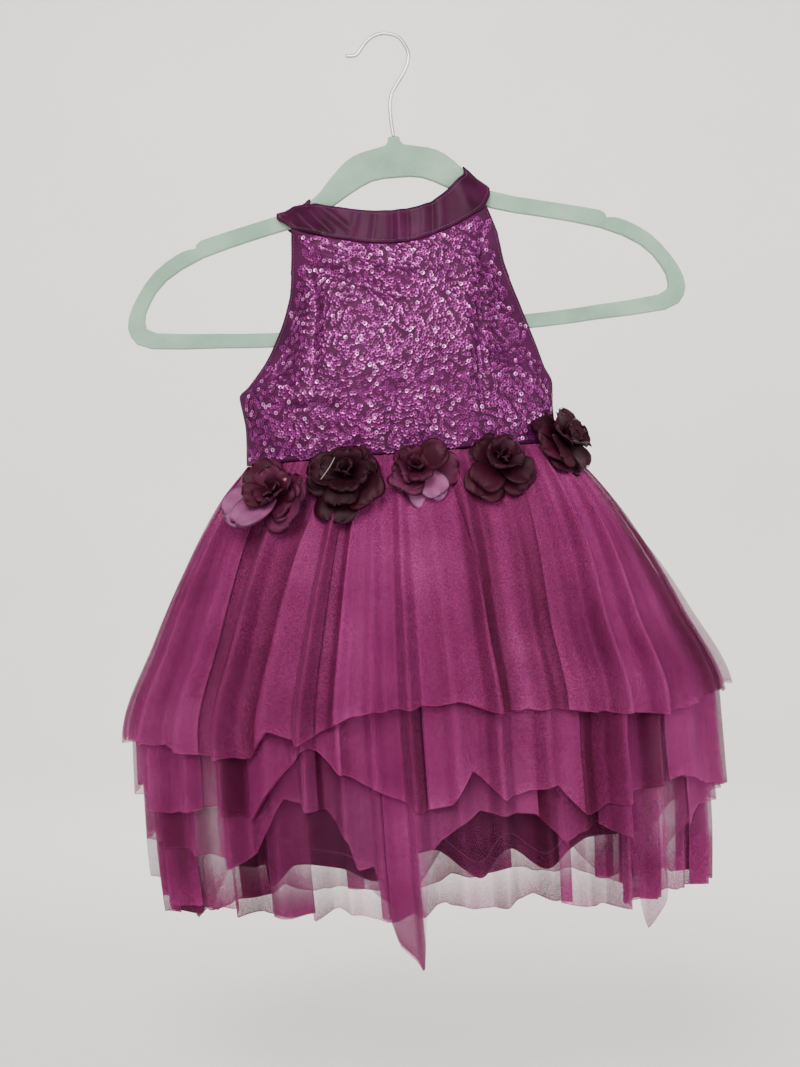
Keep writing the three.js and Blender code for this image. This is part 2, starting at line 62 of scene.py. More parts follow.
def curveThrough(xs, ys, at):
    # smooth through the rows without overshooting them, and level past the ends
    xs, ys = np.asarray(xs, float), np.asarray(ys, float)
    at = np.clip(at, xs[0], xs[-1])
    h = np.diff(xs)
    slope = np.diff(ys) / h
    m = np.zeros(len(xs))
    m[0], m[-1] = slope[0], slope[-1]
    same = slope[:-1] * slope[1:] > 0
    w1, w2 = 2 * h[1:] + h[:-1], h[1:] + 2 * h[:-1]
    safe = np.where(same, slope[:-1], 1), np.where(same, slope[1:], 1)
    m[1:-1] = np.where(same, (w1 + w2) / (w1 / safe[0] + w2 / safe[1]), 0)
    i = np.clip(np.searchsorted(xs, at, "right") - 1, 0, len(h) - 1)
    t = (at - xs[i]) / h[i]
    return ((1 + 2 * t) * (1 - t) ** 2 * ys[i] + t * (1 - t) ** 2 * h[i] * m[i]
            + t * t * (3 - 2 * t) * ys[i + 1] + t * t * (t - 1) * h[i] * m[i + 1])


def roundThrough(xs, ys, at, period=360.0):
    # the same for a table that closes on itself
    xs, ys = np.asarray(xs, float), np.asarray(ys, float)
    xs = np.concatenate([xs[-3:] - period, xs, xs[:3] + period])
    ys = np.concatenate([ys[-3:], ys, ys[:3]])
    return curveThrough(xs, ys, (np.asarray(at) - xs[3]) % period + xs[3])


def unevenRound(count, seed, at, least=0.35):
    # a soft wave with about that many ridges round the skirt, each of its own height and width
    rng = np.random.default_rng(seed)
    knots = (np.arange(2 * count) + rng.uniform(-0.28, 0.28, 2 * count)) * 360 / (2 * count)
    heights = rng.uniform(least, 1, 2 * count) * np.where(np.arange(2 * count) % 2, -1, 1)
    return roundThrough(knots, heights, at)


def gridMesh(name, grid, closed=False, uv=None, marks=None):
    # grid[row][column] of row-frame points; seen from outside, columns run right and rows run down
    rows, columns = grid.shape[:2]
    mesh = bpy.data.meshes.new(name)
    index = np.arange(rows * columns).reshape(rows, columns)
    right = np.roll(index, -1, 1) if closed else index[:, 1:]
    left = index if closed else index[:, :-1]
    faces = np.stack([left[:-1], left[1:], right[1:], right[:-1]], -1).reshape(-1, 4)
    mesh.from_pydata(grid.reshape(-1, 3).tolist(), [], faces.tolist())
    if uv is not None:
        layer = mesh.uv_layers.new(name="cloth")
        u, v = uv
        step = np.arange(columns + 1) if closed else np.arange(columns)
        cell = (np.arange(faces.shape[0]) // (columns if closed else columns - 1),
                np.arange(faces.shape[0]) % (columns if closed else columns - 1))
        corner = ((0, 0), (1, 0), (1, 1), (0, 1))
        out = np.zeros((faces.shape[0], 4, 2), np.float32)
        for k, (down, across) in enumerate(corner):
            out[:, k, 0] = u[cell[0] + down, step[cell[1] + across]]
            out[:, k, 1] = v[cell[0] + down, (cell[1] + across) % columns]
        layer.data.foreach_set("uv", out.ravel())
    for key, values in (marks or {}).items():
        mesh.attributes.new(key, "FLOAT", "POINT").data.foreach_set("value", np.asarray(values, np.float32).ravel())
    mesh.validate()
    mesh.shade_smooth()
    piece = bpy.data.objects.new(name, mesh)
    bpy.context.scene.collection.objects.link(piece)
    return piece


def arcUv(grid, closed=False):
    # UV in metres: along each row, and down each column
    nextOne = np.roll(grid, -1, 1) if closed else np.concatenate([grid[:, 1:], grid[:, -1:]], 1)
    along = np.linalg.norm(nextOne - grid, axis=-1)
    u = np.concatenate([np.zeros((grid.shape[0], 1)), np.cumsum(along, 1)], 1)
    if not closed:
        u = u[:, :-1]
    down = np.linalg.norm(np.diff(grid, axis=0), axis=-1)
    v = np.concatenate([np.zeros((1, grid.shape[1])), np.cumsum(down, 0)], 0)
    return u, v


def kept(piece):
    # modifiers made real, so that what rides is plain mesh
    graph = bpy.context.evaluated_depsgraph_get()
    mesh = bpy.data.meshes.new_from_object(piece.evaluated_get(graph), preserve_all_data_layers=True, depsgraph=graph)
    mesh.name = piece.name
    piece.modifiers.clear()
    piece.data = mesh
    return piece


def thickened(piece, millimetres, offset=0.0):
    wall = piece.modifiers.new("wall", "SOLIDIFY")
    wall.thickness = millimetres / 1000
    wall.offset = offset
    wall.use_rim = True
    return kept(piece)


def dress(piece, material, slotName, *nodes):
    piece.data.materials.clear()
    piece.data.materials.append(material)
    if nodes:
        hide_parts(*nodes)
    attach(piece, "root")
    return piece


print("frame loaded")

# ---- materials ----


def linear(hexCode):
    parts = [int(hexCode[i:i + 2], 16) / 255 for i in (0, 2, 4)]
    return (*[c / 12.92 if c <= 0.04045 else ((c + 0.055) / 1.055) ** 2.4 for c in parts], 1.0)


def addNode(tree, kind, links=None, out=None, **settings):
    # links: {input name or number: a value, or a socket of another node}
    node = tree.nodes.new(kind)
    for key, value in settings.items():
        setattr(node, key, value)
    for key, value in (links or {}).items():
        if isinstance(value, bpy.types.NodeSocket):
            tree.links.new(value, node.inputs[key])
        else:
            node.inputs[key].default_value = value
    return node.outputs[out] if out is not None else node


def newMaterial(name, **sockets):
    material = bpy.data.materials.new(name)
    material.use_nodes = True
    tree = material.node_tree
    shader = tree.nodes["Principled BSDF"]
    for key, value in sockets.items():
        shader.inputs[key.replace("_", " ")].default_value = value
    return material, tree, shader


def ramp(tree, value, stops):
    node = addNode(tree, "ShaderNodeValToRGB", {0: value})
    while len(node.color_ramp.elements) < len(stops):
        node.color_ramp.elements.new(0.5)
    for element, (at, hexCode) in zip(node.color_ramp.elements, stops):
        element.position = at
        element.color = linear(hexCode)
    return node.outputs[0]


def maths(tree, operation, a, b=0.0, clamp=False):
    return addNode(tree, "ShaderNodeMath", {0: a, 1: b}, 0, operation=operation, use_clamp=clamp)


def bumped(tree, shader, height, distance, strength=1.0, normal=None):
    links = {"Height": height, "Distance": distance, "Strength": strength}
    if normal is not None:
        links["Normal"] = normal
    bump = addNode(tree, "ShaderNodeBump", links, "Normal")
    tree.links.new(bump, shader.inputs["Normal"])
    return bump


def satinMaterial(name, dark, light, roughness):
    # polyester satin, warp faced: a soft broad shine that runs along the folds, over fine threads
    material, tree, shader = newMaterial(name, Roughness=roughness, Sheen_Weight=0.03, Sheen_Roughness=0.4)
    place = addNode(tree, "ShaderNodeTexCoord", out="Object")
    cloud = addNode(tree, "ShaderNodeTexNoise", {"Vector": place, "Scale": 38.0, "Detail": 3.0}, 0)
    colour = ramp(tree, cloud, ((0.3, dark), (0.72, light)))
    tree.links.new(colour, shader.inputs["Base Color"])
    shader.inputs["Sheen Tint"].default_value = linear("b4609a")
    shader.inputs["Specular IOR Level"].default_value = 0.11
    stretched = addNode(tree, "ShaderNodeMapping", {"Vector": place, "Scale": (1.0, 1.0, 0.12)}, 0)
    threads = addNode(tree, "ShaderNodeTexNoise", {"Vector": stretched, "Scale": 2600.0, "Detail": 2.0}, 0)  # 0.4 mm
    bumped(tree, shader, threads, 0.0001, 0.5)
    rough = addNode(tree, "ShaderNodeMapRange", {"Value": threads, "To Min": roughness - 0.06, "To Max": roughness + 0.1}, 0)
    tree.links.new(rough, shader.inputs["Roughness"])
    return material


bandSatin = satinMaterial("polyester_satin_band", "2c061e", "480f38", 0.42)
liningSatin = satinMaterial("polyester_satin_lining", "0e0208", "1a0612", 0.55)


def tulleMaterial():
    # nylon bobbinet, dyed: a hexagonal net of about 1 mm, drawn at 1.3 mm so that it shows as a fine grain. It is sheer
    # where it lies flat and fills in where it is gathered, in a fold's flank and along the cut hem.
    material, tree, shader = newMaterial("nylon_tulle_dyed", Roughness=0.72, Sheen_Weight=0.12, Sheen_Roughness=0.5)
    shader.inputs["Sheen Tint"].default_value = linear("e080c0")
    shader.inputs["Specular IOR Level"].default_value = 0.15
    place = addNode(tree, "ShaderNodeTexCoord", out="Object")
    cloud = addNode(tree, "ShaderNodeTexNoise", {"Vector": place, "Scale": 14.0, "Detail": 4.0}, 0)
    colour = ramp(tree, cloud, ((0.28, "82245e"), (0.52, "983472"), (0.75, "ae4a88")))
    crowd = addNode(tree, "ShaderNodeAttribute", attribute_name="crowd").outputs["Fac"]
    shade = addNode(tree, "ShaderNodeAttribute", attribute_name="shade").outputs["Fac"]
    rim = addNode(tree, "ShaderNodeAttribute", attribute_name="rim").outputs["Fac"]
    # painted shade: the shade attribute multiplies the net's colour darker, towards 84406c
    deep = ramp(tree, shade, ((0.04, "ffffff"), (0.7, "84406c")))
    grain = addNode(tree, "ShaderNodeTexNoise", {"Vector": place, "Scale": 760.0, "Detail": 1.0}, 0)  # 1.3 mm clumps of net
    speck = ramp(tree, grain, ((0.36, "dacad6"), (0.62, "ffffff")))
    mixed = addNode(tree, "ShaderNodeMix", {0: 1.0, 6: colour, 7: deep}, data_type="RGBA", blend_type="MULTIPLY")
    mixed = addNode(tree, "ShaderNodeMix", {0: 1.0, 6: mixed.outputs[2], 7: speck}, data_type="RGBA",
                    blend_type="MULTIPLY")
    tree.links.new(mixed.outputs[2], shader.inputs["Base Color"])
    net = addNode(tree, "ShaderNodeTexVoronoi", {"Vector": place, "Scale": 1 / 0.0013}, "Distance",
                  feature="DISTANCE_TO_EDGE")
    thread = addNode(tree, "ShaderNodeMapRange", {"Value": net, "From Min": 0.0, "From Max": 0.32,
                                                  "To Min": 0.36, "To Max": 0.17}, 0)
    wisps = addNode(tree, "ShaderNodeTexNoise", {"Vector": place, "Scale": 260.0, "Detail": 3.0}, 0)
    alpha = maths(tree, "ADD", thread, maths(tree, "MULTIPLY", maths(tree, "SUBTRACT", wisps, 0.5), 0.1))
    alpha = maths(tree, "ADD", alpha, maths(tree, "MULTIPLY", crowd, 0.5))
    alpha = maths(tree, "ADD", alpha, maths(tree, "MULTIPLY", rim, 0.22), clamp=True)
    tree.links.new(alpha, shader.inputs["Alpha"])
    return material


tulle = tulleMaterial()


def sequinMaterial():
    # PET film sequins, metallised and lacquered: mirror-flat discs. A few random ones are coloured nearly white as a
    # painted glint
    material, tree, shader = newMaterial("pet_sequins_lacquered", Metallic=0.6, Roughness=0.3)
    shader.inputs["Coat Weight"].default_value = 0.05
    shader.inputs["Coat Roughness"].default_value = 0.1
    tone = addNode(tree, "ShaderNodeAttribute", attribute_name="tone").outputs["Fac"]
    # the ramp's top end, near white, is a painted glint on a few random sequins; below it is their random tone
    colour = ramp(tree, tone, ((0.0, "4c0c40"), (0.6, "741a66"), (0.93, "963286"), (1.0, "dc90d0")))
    tree.links.new(colour, shader.inputs["Base Color"])
    place = addNode(tree, "ShaderNodeTexCoord", out="Object")
    dents = addNode(tree, "ShaderNodeTexNoise", {"Vector": place, "Scale": 700.0, "Detail": 1.0}, 0)
    bumped(tree, shader, dents, 0.00008, 0.25)
    rough = addNode(tree, "ShaderNodeMapRange", {"Value": tone, "To Min": 0.4, "To Max": 0.22}, 0)
    tree.links.new(rough, shader.inputs["Roughness"])
    return material


def bodiceMaterial():
    # nylon power net over satin: a dark plum ground with a slight shine
    material, tree, shader = newMaterial("nylon_net_on_satin", Roughness=0.55, Sheen_Weight=0.03, Sheen_Roughness=0.4)
    shader.inputs["Sheen Tint"].default_value = linear("c27ab8")
    shader.inputs["Specular IOR Level"].default_value = 0.15
    place = addNode(tree, "ShaderNodeTexCoord", out="Object")
    uv = addNode(tree, "ShaderNodeTexCoord", out="UV")
    cloud = addNode(tree, "ShaderNodeTexNoise", {"Vector": place, "Scale": 30.0, "Detail": 3.0}, 0)
    colour = ramp(tree, cloud, ((0.3, "3c0830"), (0.7, "521244")))
    net = addNode(tree, "ShaderNodeTexVoronoi", {"Vector": uv, "Scale": 1 / 0.0013}, "Distance",
                  feature="DISTANCE_TO_EDGE")
    darker = addNode(tree, "ShaderNodeMapRange", {"Value": net, "From Max": 0.25, "To Min": 1.0, "To Max": 0.72}, 0)
    mixed = addNode(tree, "ShaderNodeMix", {0: 1.0, 6: colour, 7: darker}, data_type="RGBA", blend_type="MULTIPLY")
    tree.links.new(mixed.outputs[2], shader.inputs["Base Color"])
    bumped(tree, shader, darker, 0.0002, 0.5)
    return material


sequinFilm = sequinMaterial()
bodiceNet = bodiceMaterial()


def petalMaterial():
    # satin cut with a hot blade: dark wine petals that catch light along their curled, melted edges
    material, tree, shader = newMaterial("satin_petals_heat_cut", Roughness=0.55, Sheen_Weight=0.02, Sheen_Roughness=0.35)
    shader.inputs["Sheen Tint"].default_value = linear("b06a98")
    shader.inputs["Specular IOR Level"].default_value = 0.14
    place = addNode(tree, "ShaderNodeTexCoord", out="Object")
    tone = addNode(tree, "ShaderNodeAttribute", attribute_name="tone").outputs["Fac"]
    edge = addNode(tree, "ShaderNodeAttribute", attribute_name="edge").outputs["Fac"]
    cloud = addNode(tree, "ShaderNodeTexNoise", {"Vector": place, "Scale": 120.0, "Detail": 3.0}, 0)
    mixedTone = maths(tree, "ADD", tone, maths(tree, "MULTIPLY", maths(tree, "SUBTRACT", cloud, 0.5), 0.3), clamp=True)
    # the paler tones, up to 96608c, carry the painted highlight on some petals as well as the petals' own tone
    colour = ramp(tree, mixedTone, ((0.0, "1a030c"), (0.25, "380a1e"), (0.5, "5a2040"), (0.75, "7a3c62"), (1.0, "96608c")))
    burnt = addNode(tree, "ShaderNodeMix", {0: maths(tree, "MULTIPLY", edge, 0.75), 6: colour, 7: linear("1c0610")},
                    data_type="RGBA")
    tree.links.new(burnt.outputs[2], shader.inputs["Base Color"])
    fine = addNode(tree, "ShaderNodeTexNoise", {"Vector": place, "Scale": 2200.0, "Detail": 2.0}, 0)
    soft = bumped(tree, shader, fine, 0.0001, 0.4)
    crease = addNode(tree, "ShaderNodeTexNoise", {"Vector": place, "Scale": 210.0, "Detail": 2.0}, 0)
    bumped(tree, shader, crease, 0.0006, 0.5, soft)
    rough = addNode(tree, "ShaderNodeMapRange", {"Value": edge, "To Min": 0.52, "To Max": 0.36}, 0)
    tree.links.new(rough, shader.inputs["Roughness"])
    return material


petalSatin = petalMaterial()


def flockMaterial():
    # polystyrene with electrostatic flock: short fibres that scatter all light, paler where the light grazes them
    material, tree, shader = newMaterial("flocked_polystyrene", Roughness=0.95, Sheen_Weight=0.3, Sheen_Roughness=0.5)
    shader.inputs["Sheen Tint"].default_value = linear("e0f0e4")
    shader.inputs["Specular IOR Level"].default_value = 0.15
    place = addNode(tree, "ShaderNodeTexCoord", out="Object")
    worn = addNode(tree, "ShaderNodeTexNoise", {"Vector": place, "Scale": 24.0, "Detail": 5.0}, 0)
    fibres = addNode(tree, "ShaderNodeTexNoise", {"Vector": place, "Scale": 1500.0, "Detail": 3.0}, 0)  # 0.7 mm tufts
    level = maths(tree, "ADD", maths(tree, "MULTIPLY", worn, 0.6), maths(tree, "MULTIPLY", fibres, 0.4))
    colour = ramp(tree, level, ((0.34, "7a9a84"), (0.5, "8eac98"), (0.66, "a2bcaa")))
    tree.links.new(colour, shader.inputs["Base Color"])
    bumped(tree, shader, fibres, 0.0004, 0.7)
    return material


def steelMaterial():
    # chrome-plated steel wire, drawn: a clean mirror with hairline scratches round the bend
    material, tree, shader = newMaterial("chromed_steel_wire", Metallic=1.0, Roughness=0.16)
    place = addNode(tree, "ShaderNodeTexCoord", out="Object")
    worn = addNode(tree, "ShaderNodeTexNoise", {"Vector": place, "Scale": 90.0, "Detail": 4.0}, 0)
    colour = ramp(tree, worn, ((0.3, "b4b0ac"), (0.7, "d8d6d4")))
    tree.links.new(colour, shader.inputs["Base Color"])
    rough = addNode(tree, "ShaderNodeMapRange", {"Value": worn, "To Min": 0.1, "To Max": 0.26}, 0)
    tree.links.new(rough, shader.inputs["Roughness"])
    hair = addNode(tree, "ShaderNodeTexNoise", {"Vector": place, "Scale": 1800.0, "Detail": 2.0}, 0)
    bumped(tree, shader, hair, 0.00003, 0.3)
    return material


def buttonMaterial():
    # cast polyester resin, turned and tumbled: glossy, with a faint cloud of pearl in the dye
    material, tree, shader = newMaterial("cast_polyester_button", Roughness=0.25)
    place = addNode(tree, "ShaderNodeTexCoord", out="Object")
    cloud = addNode(tree, "ShaderNodeTexNoise", {"Vector": place, "Scale": 260.0, "Detail": 3.0, "Distortion": 1.2}, 0)
    tree.links.new(ramp(tree, cloud, ((0.35, "3a1030"), (0.7, "5c2450"))), shader.inputs["Base Color"])
    scuffs = addNode(tree, "ShaderNodeTexNoise", {"Vector": place, "Scale": 900.0, "Detail": 2.0}, 0)
    tree.links.new(addNode(tree, "ShaderNodeMapRange", {"Value": scuffs, "To Min": 0.16, "To Max": 0.34}, 0),
                   shader.inputs["Roughness"])
    bumped(tree, shader, scuffs, 0.00003, 0.4)
    return material


flock = flockMaterial()
chrome = steelMaterial()
polyester = buttonMaterial()


def threadMaterial(name, dark, light):
    # spun polyester thread, two plies twisted: matt, with painted shade as a dark line in the groove between the plies
    material, tree, shader = newMaterial(name, Roughness=0.6, Sheen_Weight=0.3)
    place = addNode(tree, "ShaderNodeTexCoord", out="Object")
    ply = addNode(tree, "ShaderNodeTexWave", {"Vector": place, "Scale": 900.0, "Distortion": 2.0}, "Fac")
    tree.links.new(ramp(tree, ply, ((0.2, dark), (0.8, light))), shader.inputs["Base Color"])
    bumped(tree, shader, ply, 0.0001, 0.5)
    return material


thread = threadMaterial("polyester_thread", "2e0c28", "522048")
paleThread = threadMaterial("polyester_thread_undyed", "806a66", "ac9690")


def beadMaterial():
    # pressed glass bead, dyed pink inside: a small bright glint in the dark petals
    material, tree, shader = newMaterial("pressed_glass_bead", Roughness=0.15)
    place = addNode(tree, "ShaderNodeTexCoord", out="Object")
    cloud = addNode(tree, "ShaderNodeTexNoise", {"Vector": place, "Scale": 700.0, "Detail": 2.0}, 0)
    tree.links.new(ramp(tree, cloud, ((0.35, "8c4450"), (0.7, "b87480"))), shader.inputs["Base Color"])
    tree.links.new(addNode(tree, "ShaderNodeMapRange", {"Value": cloud, "To Min": 0.1, "To Max": 0.24}, 0),
                   shader.inputs["Roughness"])
    bumped(tree, shader, cloud, 0.00003, 0.3)
    return material


beadGlass = beadMaterial()
print("materials made")

# ---- skirt ----
# plain rings below the waist: how far they reach to each side, with the section blunt at the waist's sides
section = {"drop": [0, 71, 205], "power": [2.6, 2.2, 2.0], "round": [0.62, 0.56, 0.5]}
liningRings = {"drop": [0, 71, 205, 330], "right": [114, 138.5, 157, 165], "left": [114, 138, 157, 163],
               "front": [20, 33, 53, 62], "back": [14, 24, 35, 38]}
tulleRings = {"drop": [0, 25, 71, 135, 205, 290, 380], "right": [116.8, 133, 160, 192, 219, 219, 213],
              "left": [116.8, 132, 157, 186, 212.5, 214, 209], "front": [22.8, 30, 46, 64, 79, 87, 90],
              "back": [16.8, 23, 35, 45, 52, 56, 58]}
rimRise = 0.4


def ringFlat(rings, drop, degrees):
    side = np.cos(np.radians(degrees))
    power, roundness = (curveThrough(section["drop"], section[key], drop) for key in ("power", "round"))
    depth = np.clip(1 - np.abs(side) ** power, 0, None) ** roundness
    right, left, front, back = (curveThrough(rings["drop"], rings[key], drop)
                                for key in ("right", "left", "front", "back"))
    isFront = np.sin(np.radians(degrees)) > 0
    return np.where(side > 0, right, left) * side, np.where(isFront, -front, back) * depth


def skirtPoints(rings, drop, degrees, outset):
    aheadX, aheadY = ringFlat(rings, drop, degrees + 1.5)
    behindX, behindY = ringFlat(rings, drop, degrees - 1.5)
    outX, outY = behindY - aheadY, aheadX - behindX
    size = np.hypot(outX, outY)
    x, y = ringFlat(rings, drop, degrees)
    return np.stack([x + outX / size * outset, y + outY / size * outset, -garment["seamGap"] - rimRise - drop], -1)


# the tulle's folds: the angle of each ridge from the right side through the front, and how strongly it stands out
tulleFolds = {
    "at": [4, 16, 28, 39, 50, 58.5, 66, 76, 84, 92.5, 100, 107, 114, 123, 133, 145, 157, 169, 181, 194, 207, 221, 235,
           248, 261, 274, 288, 302, 316, 330, 343],
    "lift": [0.4, 0.7, 0.2, 0.9, 1.5, 0.2, 0.3, 1.1, 0.2, 1.4, 0.3, 0.4, 1.5, 0.1, 1.3, 0.4, 1, 0.3, 0.6, 0.9, 1.2,
             0.3, 1.3, 0.4, 0.8, 1.4, 0.2, 0.9, 1.3, 0.3, 0.8],
    # painted shade round the skirt: sectors, by angle, where the net's colour is darkened, and where the net is also
    # made more opaque
    "paintedShadeAt": [0, 30, 45, 58, 70, 84, 91, 99, 107, 116, 128, 140, 160, 180, 200, 225, 250, 280, 310, 340],
    "dark": [0.05, 0, -0.04, 0.24, 0.2, 0.16, 0, -0.08, -0.04, 0.16, 0.2, 0, 0.04, 0.1, 0, 0.16, 0, 0.18, 0, 0.12],
}
foldDepths = {"drop": [0, 25, 71, 135, 205, 330], "tulle": [0.4, 2.6, 5.2, 7.6, 9.4, 10.5],
              "lining": [0, 0.8, 2, 3.5, 5.5, 8]}
# where a fold that ends at one angle on the hem starts at the waist: the right side's folds run up to the side seam
foldLean = {"at": [0, 20, 45, 60, 76, 84, 100, 117, 140, 160, 180, 200, 230, 300, 330],
            "by": [-14, -18, -22, -15, -6, -2, 0, -3, 3, 5, 3, 4, 0, 0, -6]}
layerDrops = [0, 25, 71, 135, 205]

# each layer: how far it lies outside the innermost one, and its hem as the height at places across the front, in mm,
# and at angles round the back
tulleLayers = {
    "even": {"outset": [0, 0, 0, 0, 0], "seed": 11, "plies": (-0.34, 0.34), "foot": 0.85,
             "pleats": [(18, 2, 1), (44, 4.2, -1), (63, 1.6, 1), (98, 3.4, -1), (121, 5, 1), (152, 2.2, -1),
                        (197, 3, 1), (226, 4.4, -1), (252, 2, 1), (283, 4.6, -1), (311, 2.4, 1), (340, 3, -1)],
             "front": [(-214, -331), (-190, -338), (-150, -340), (-110, -346), (-75, -340), (-30, -352), (8, -341),
                       (40, -348), (75, -341), (110, -352), (150, -357), (185, -352), (219, -354)],
             "back": [(181, 350), (207, 357), (221, 352), (235, 348), (261, 358), (288, 347), (316, 358), (330, 352),
                      (355, 353)]},
    "long": {"outset": [2.4, 4.7, 6, 7, 7.5], "seed": 12, "plies": (0.1, 0.34),
             "pleats": [(24, 4.4, 1), (53, 2, 1), (72, 3.6, -1), (96, 3.2, 1), (114, 1.6, -1), (134, 5, 1), (163, 2.4, -1),
                        (204, 4.6, -1), (236, 2.2, 1), (262, 4, 1), (291, 1.8, -1), (319, 4.4, 1)],
             "front": [(-221, -284), (-208, -291), (-175, -296), (-149.2, -303.3), (-135.2, -294.2),
                       (-110.8, -254.3), (-79.3, -266.3), (-62.5, -288.9), (-58.1, -311.1), (-46, -308),
                       (-31, -368), (-13, -387), (-4, -306), (8, -292), (37.6, -273.3), (81.4, -279.7), (102.4, -302.8), (128, -290),
                       (153, -307), (169, -378), (185, -321), (202, -298), (226, -283)],
             "back": [(181, 320), (194, 340), (207, 366), (221, 318), (235, 286), (248, 330), (261, 378), (274, 322),
                      (288, 284), (302, 336), (316, 370), (330, 304), (343, 284)]},
    "middle": {"outset": [4.8, 9.3, 12, 14, 15], "seed": 13, "plies": (0.4, 0.24),
             "pleats": [(34, 5, 1), (61, 1.8, -1), (86, 4.2, 1), (108, 1.6, -1), (125, 3.4, 1), (146, 4.6, -1),
                        (174, 2, 1), (206, 4, -1), (232, 1.8, 1), (258, 5, -1), (288, 2.4, 1), (322, 4, -1), (350, 1.8, 1)],
               "front": [(-229, -246), (-205, -264), (-170, -258), (-140, -268), (-110, -232), (-90, -214.7),
                         (-70.5, -234.9), (-29.6, -256.7), (-5.9, -269), (18.4, -264.5), (35.8, -242.3),
                         (58.7, -264.2), (99.9, -258.4), (122.2, -283), (168.6, -271.2), (200, -263), (234, -280)],
               "back": [(181, 246), (194, 254), (221, 244), (235, 276), (248, 288), (274, 240), (302, 290), (316, 256),
                        (330, 246), (343, 272)]},
    "top": {"outset": [7.2, 14, 18, 21, 23.5], "seed": 14, "plies": (0.5, 0.16),
             "pleats": [(15, 1.8, 1), (42, 5.4, -1), (60, 2, 1), (80, 4.8, -1), (106, 1.6, 1), (119, 5.6, 1), (142, 2, -1),
                       (168, 3.8, 1), (199, 1.8, -1), (228, 5.2, 1), (257, 2, -1), (281, 4.4, 1), (312, 5, -1), (341, 2, 1)],
            "front": [(-236, -208), (-217, -208.7), (-180, -218), (-139.9, -222.1), (-124.2, -201.4), (-97.1, -212),
                      (-56.3, -194.1), (6, -191.3), (29, -189.5), (52.3, -198.5), (103.8, -201.7), (160.5, -209.3),
                      (200, -214), (242, -200)],
            "back": [(181, 208), (194, 200), (221, 220), (248, 196), (274, 218), (302, 196), (330, 217), (343, 204)]},
}
net = {"columns": 1060, "rows": 42, "ridge": 1.15, "valley": 0.8, "rim": 1.3}
# how far a pleat overlaps, and how far its three plies lie apart, down the skirt
pleatGrowth = {"drop": [0, 40, 110, 205], "overlap": [0.3, 0.62, 0.9, 1], "apart": [0.6, 1.2, 1.9, 2.6]}


def pleatedPath(pleats, count):
    # the net's edge round the skirt: at each pleat it turns back under or over itself, then goes on
    angles, plain, levels = [], [], []
    for k, (at, half, sign) in enumerate(pleats):
        before = pleats[k - 1][0] - (360 if k == 0 else 0)
        reach = half + 1.6
        angles += [(before + at) / 2, at - reach, at + half, at - half, at + reach]
        levels += [0, sign, 0.5 * sign, -0.5 * sign, -sign]
        lengths = np.cumsum([0, reach + half, 2 * half, reach + half])
        plain += [(before + at) / 2, *(at - reach + 2 * reach * lengths / lengths[-1])]
    angles, plain, levels = np.array(angles), np.array(plain), np.array(levels)
    steps = np.abs(np.diff(np.append(angles, angles[0] + 360)))
    path = np.concatenate([[0], np.cumsum(steps)[:-1]])
    whole = steps.sum()
    at = np.linspace(whole, 0, count, endpoint=False)

    def along(values, turn):
        xs = np.concatenate([path[-3:] - whole, path, path[:4] + whole])
        ys = np.concatenate([values[-3:] - turn, values, values[:4] + turn])
        return curveThrough(xs, ys, at)

    return along(angles, 360), along(plain, 360), along(levels, 0)


def frontHem(rings, layer, degrees):
    # the hem's height is tabled across the front, so each column first finds where across it hangs
    reach, _ = ringFlat(rings, np.full(degrees.shape, 250.0), degrees)
    xs, zs = zip(*layer["front"])
    widest = {1: max(xs), -1: -min(xs)}
    across = reach * np.where(reach > 0, widest[1] / rings["right"][-2], widest[-1] / rings["left"][-2])
    return -np.interp(across, xs, zs)


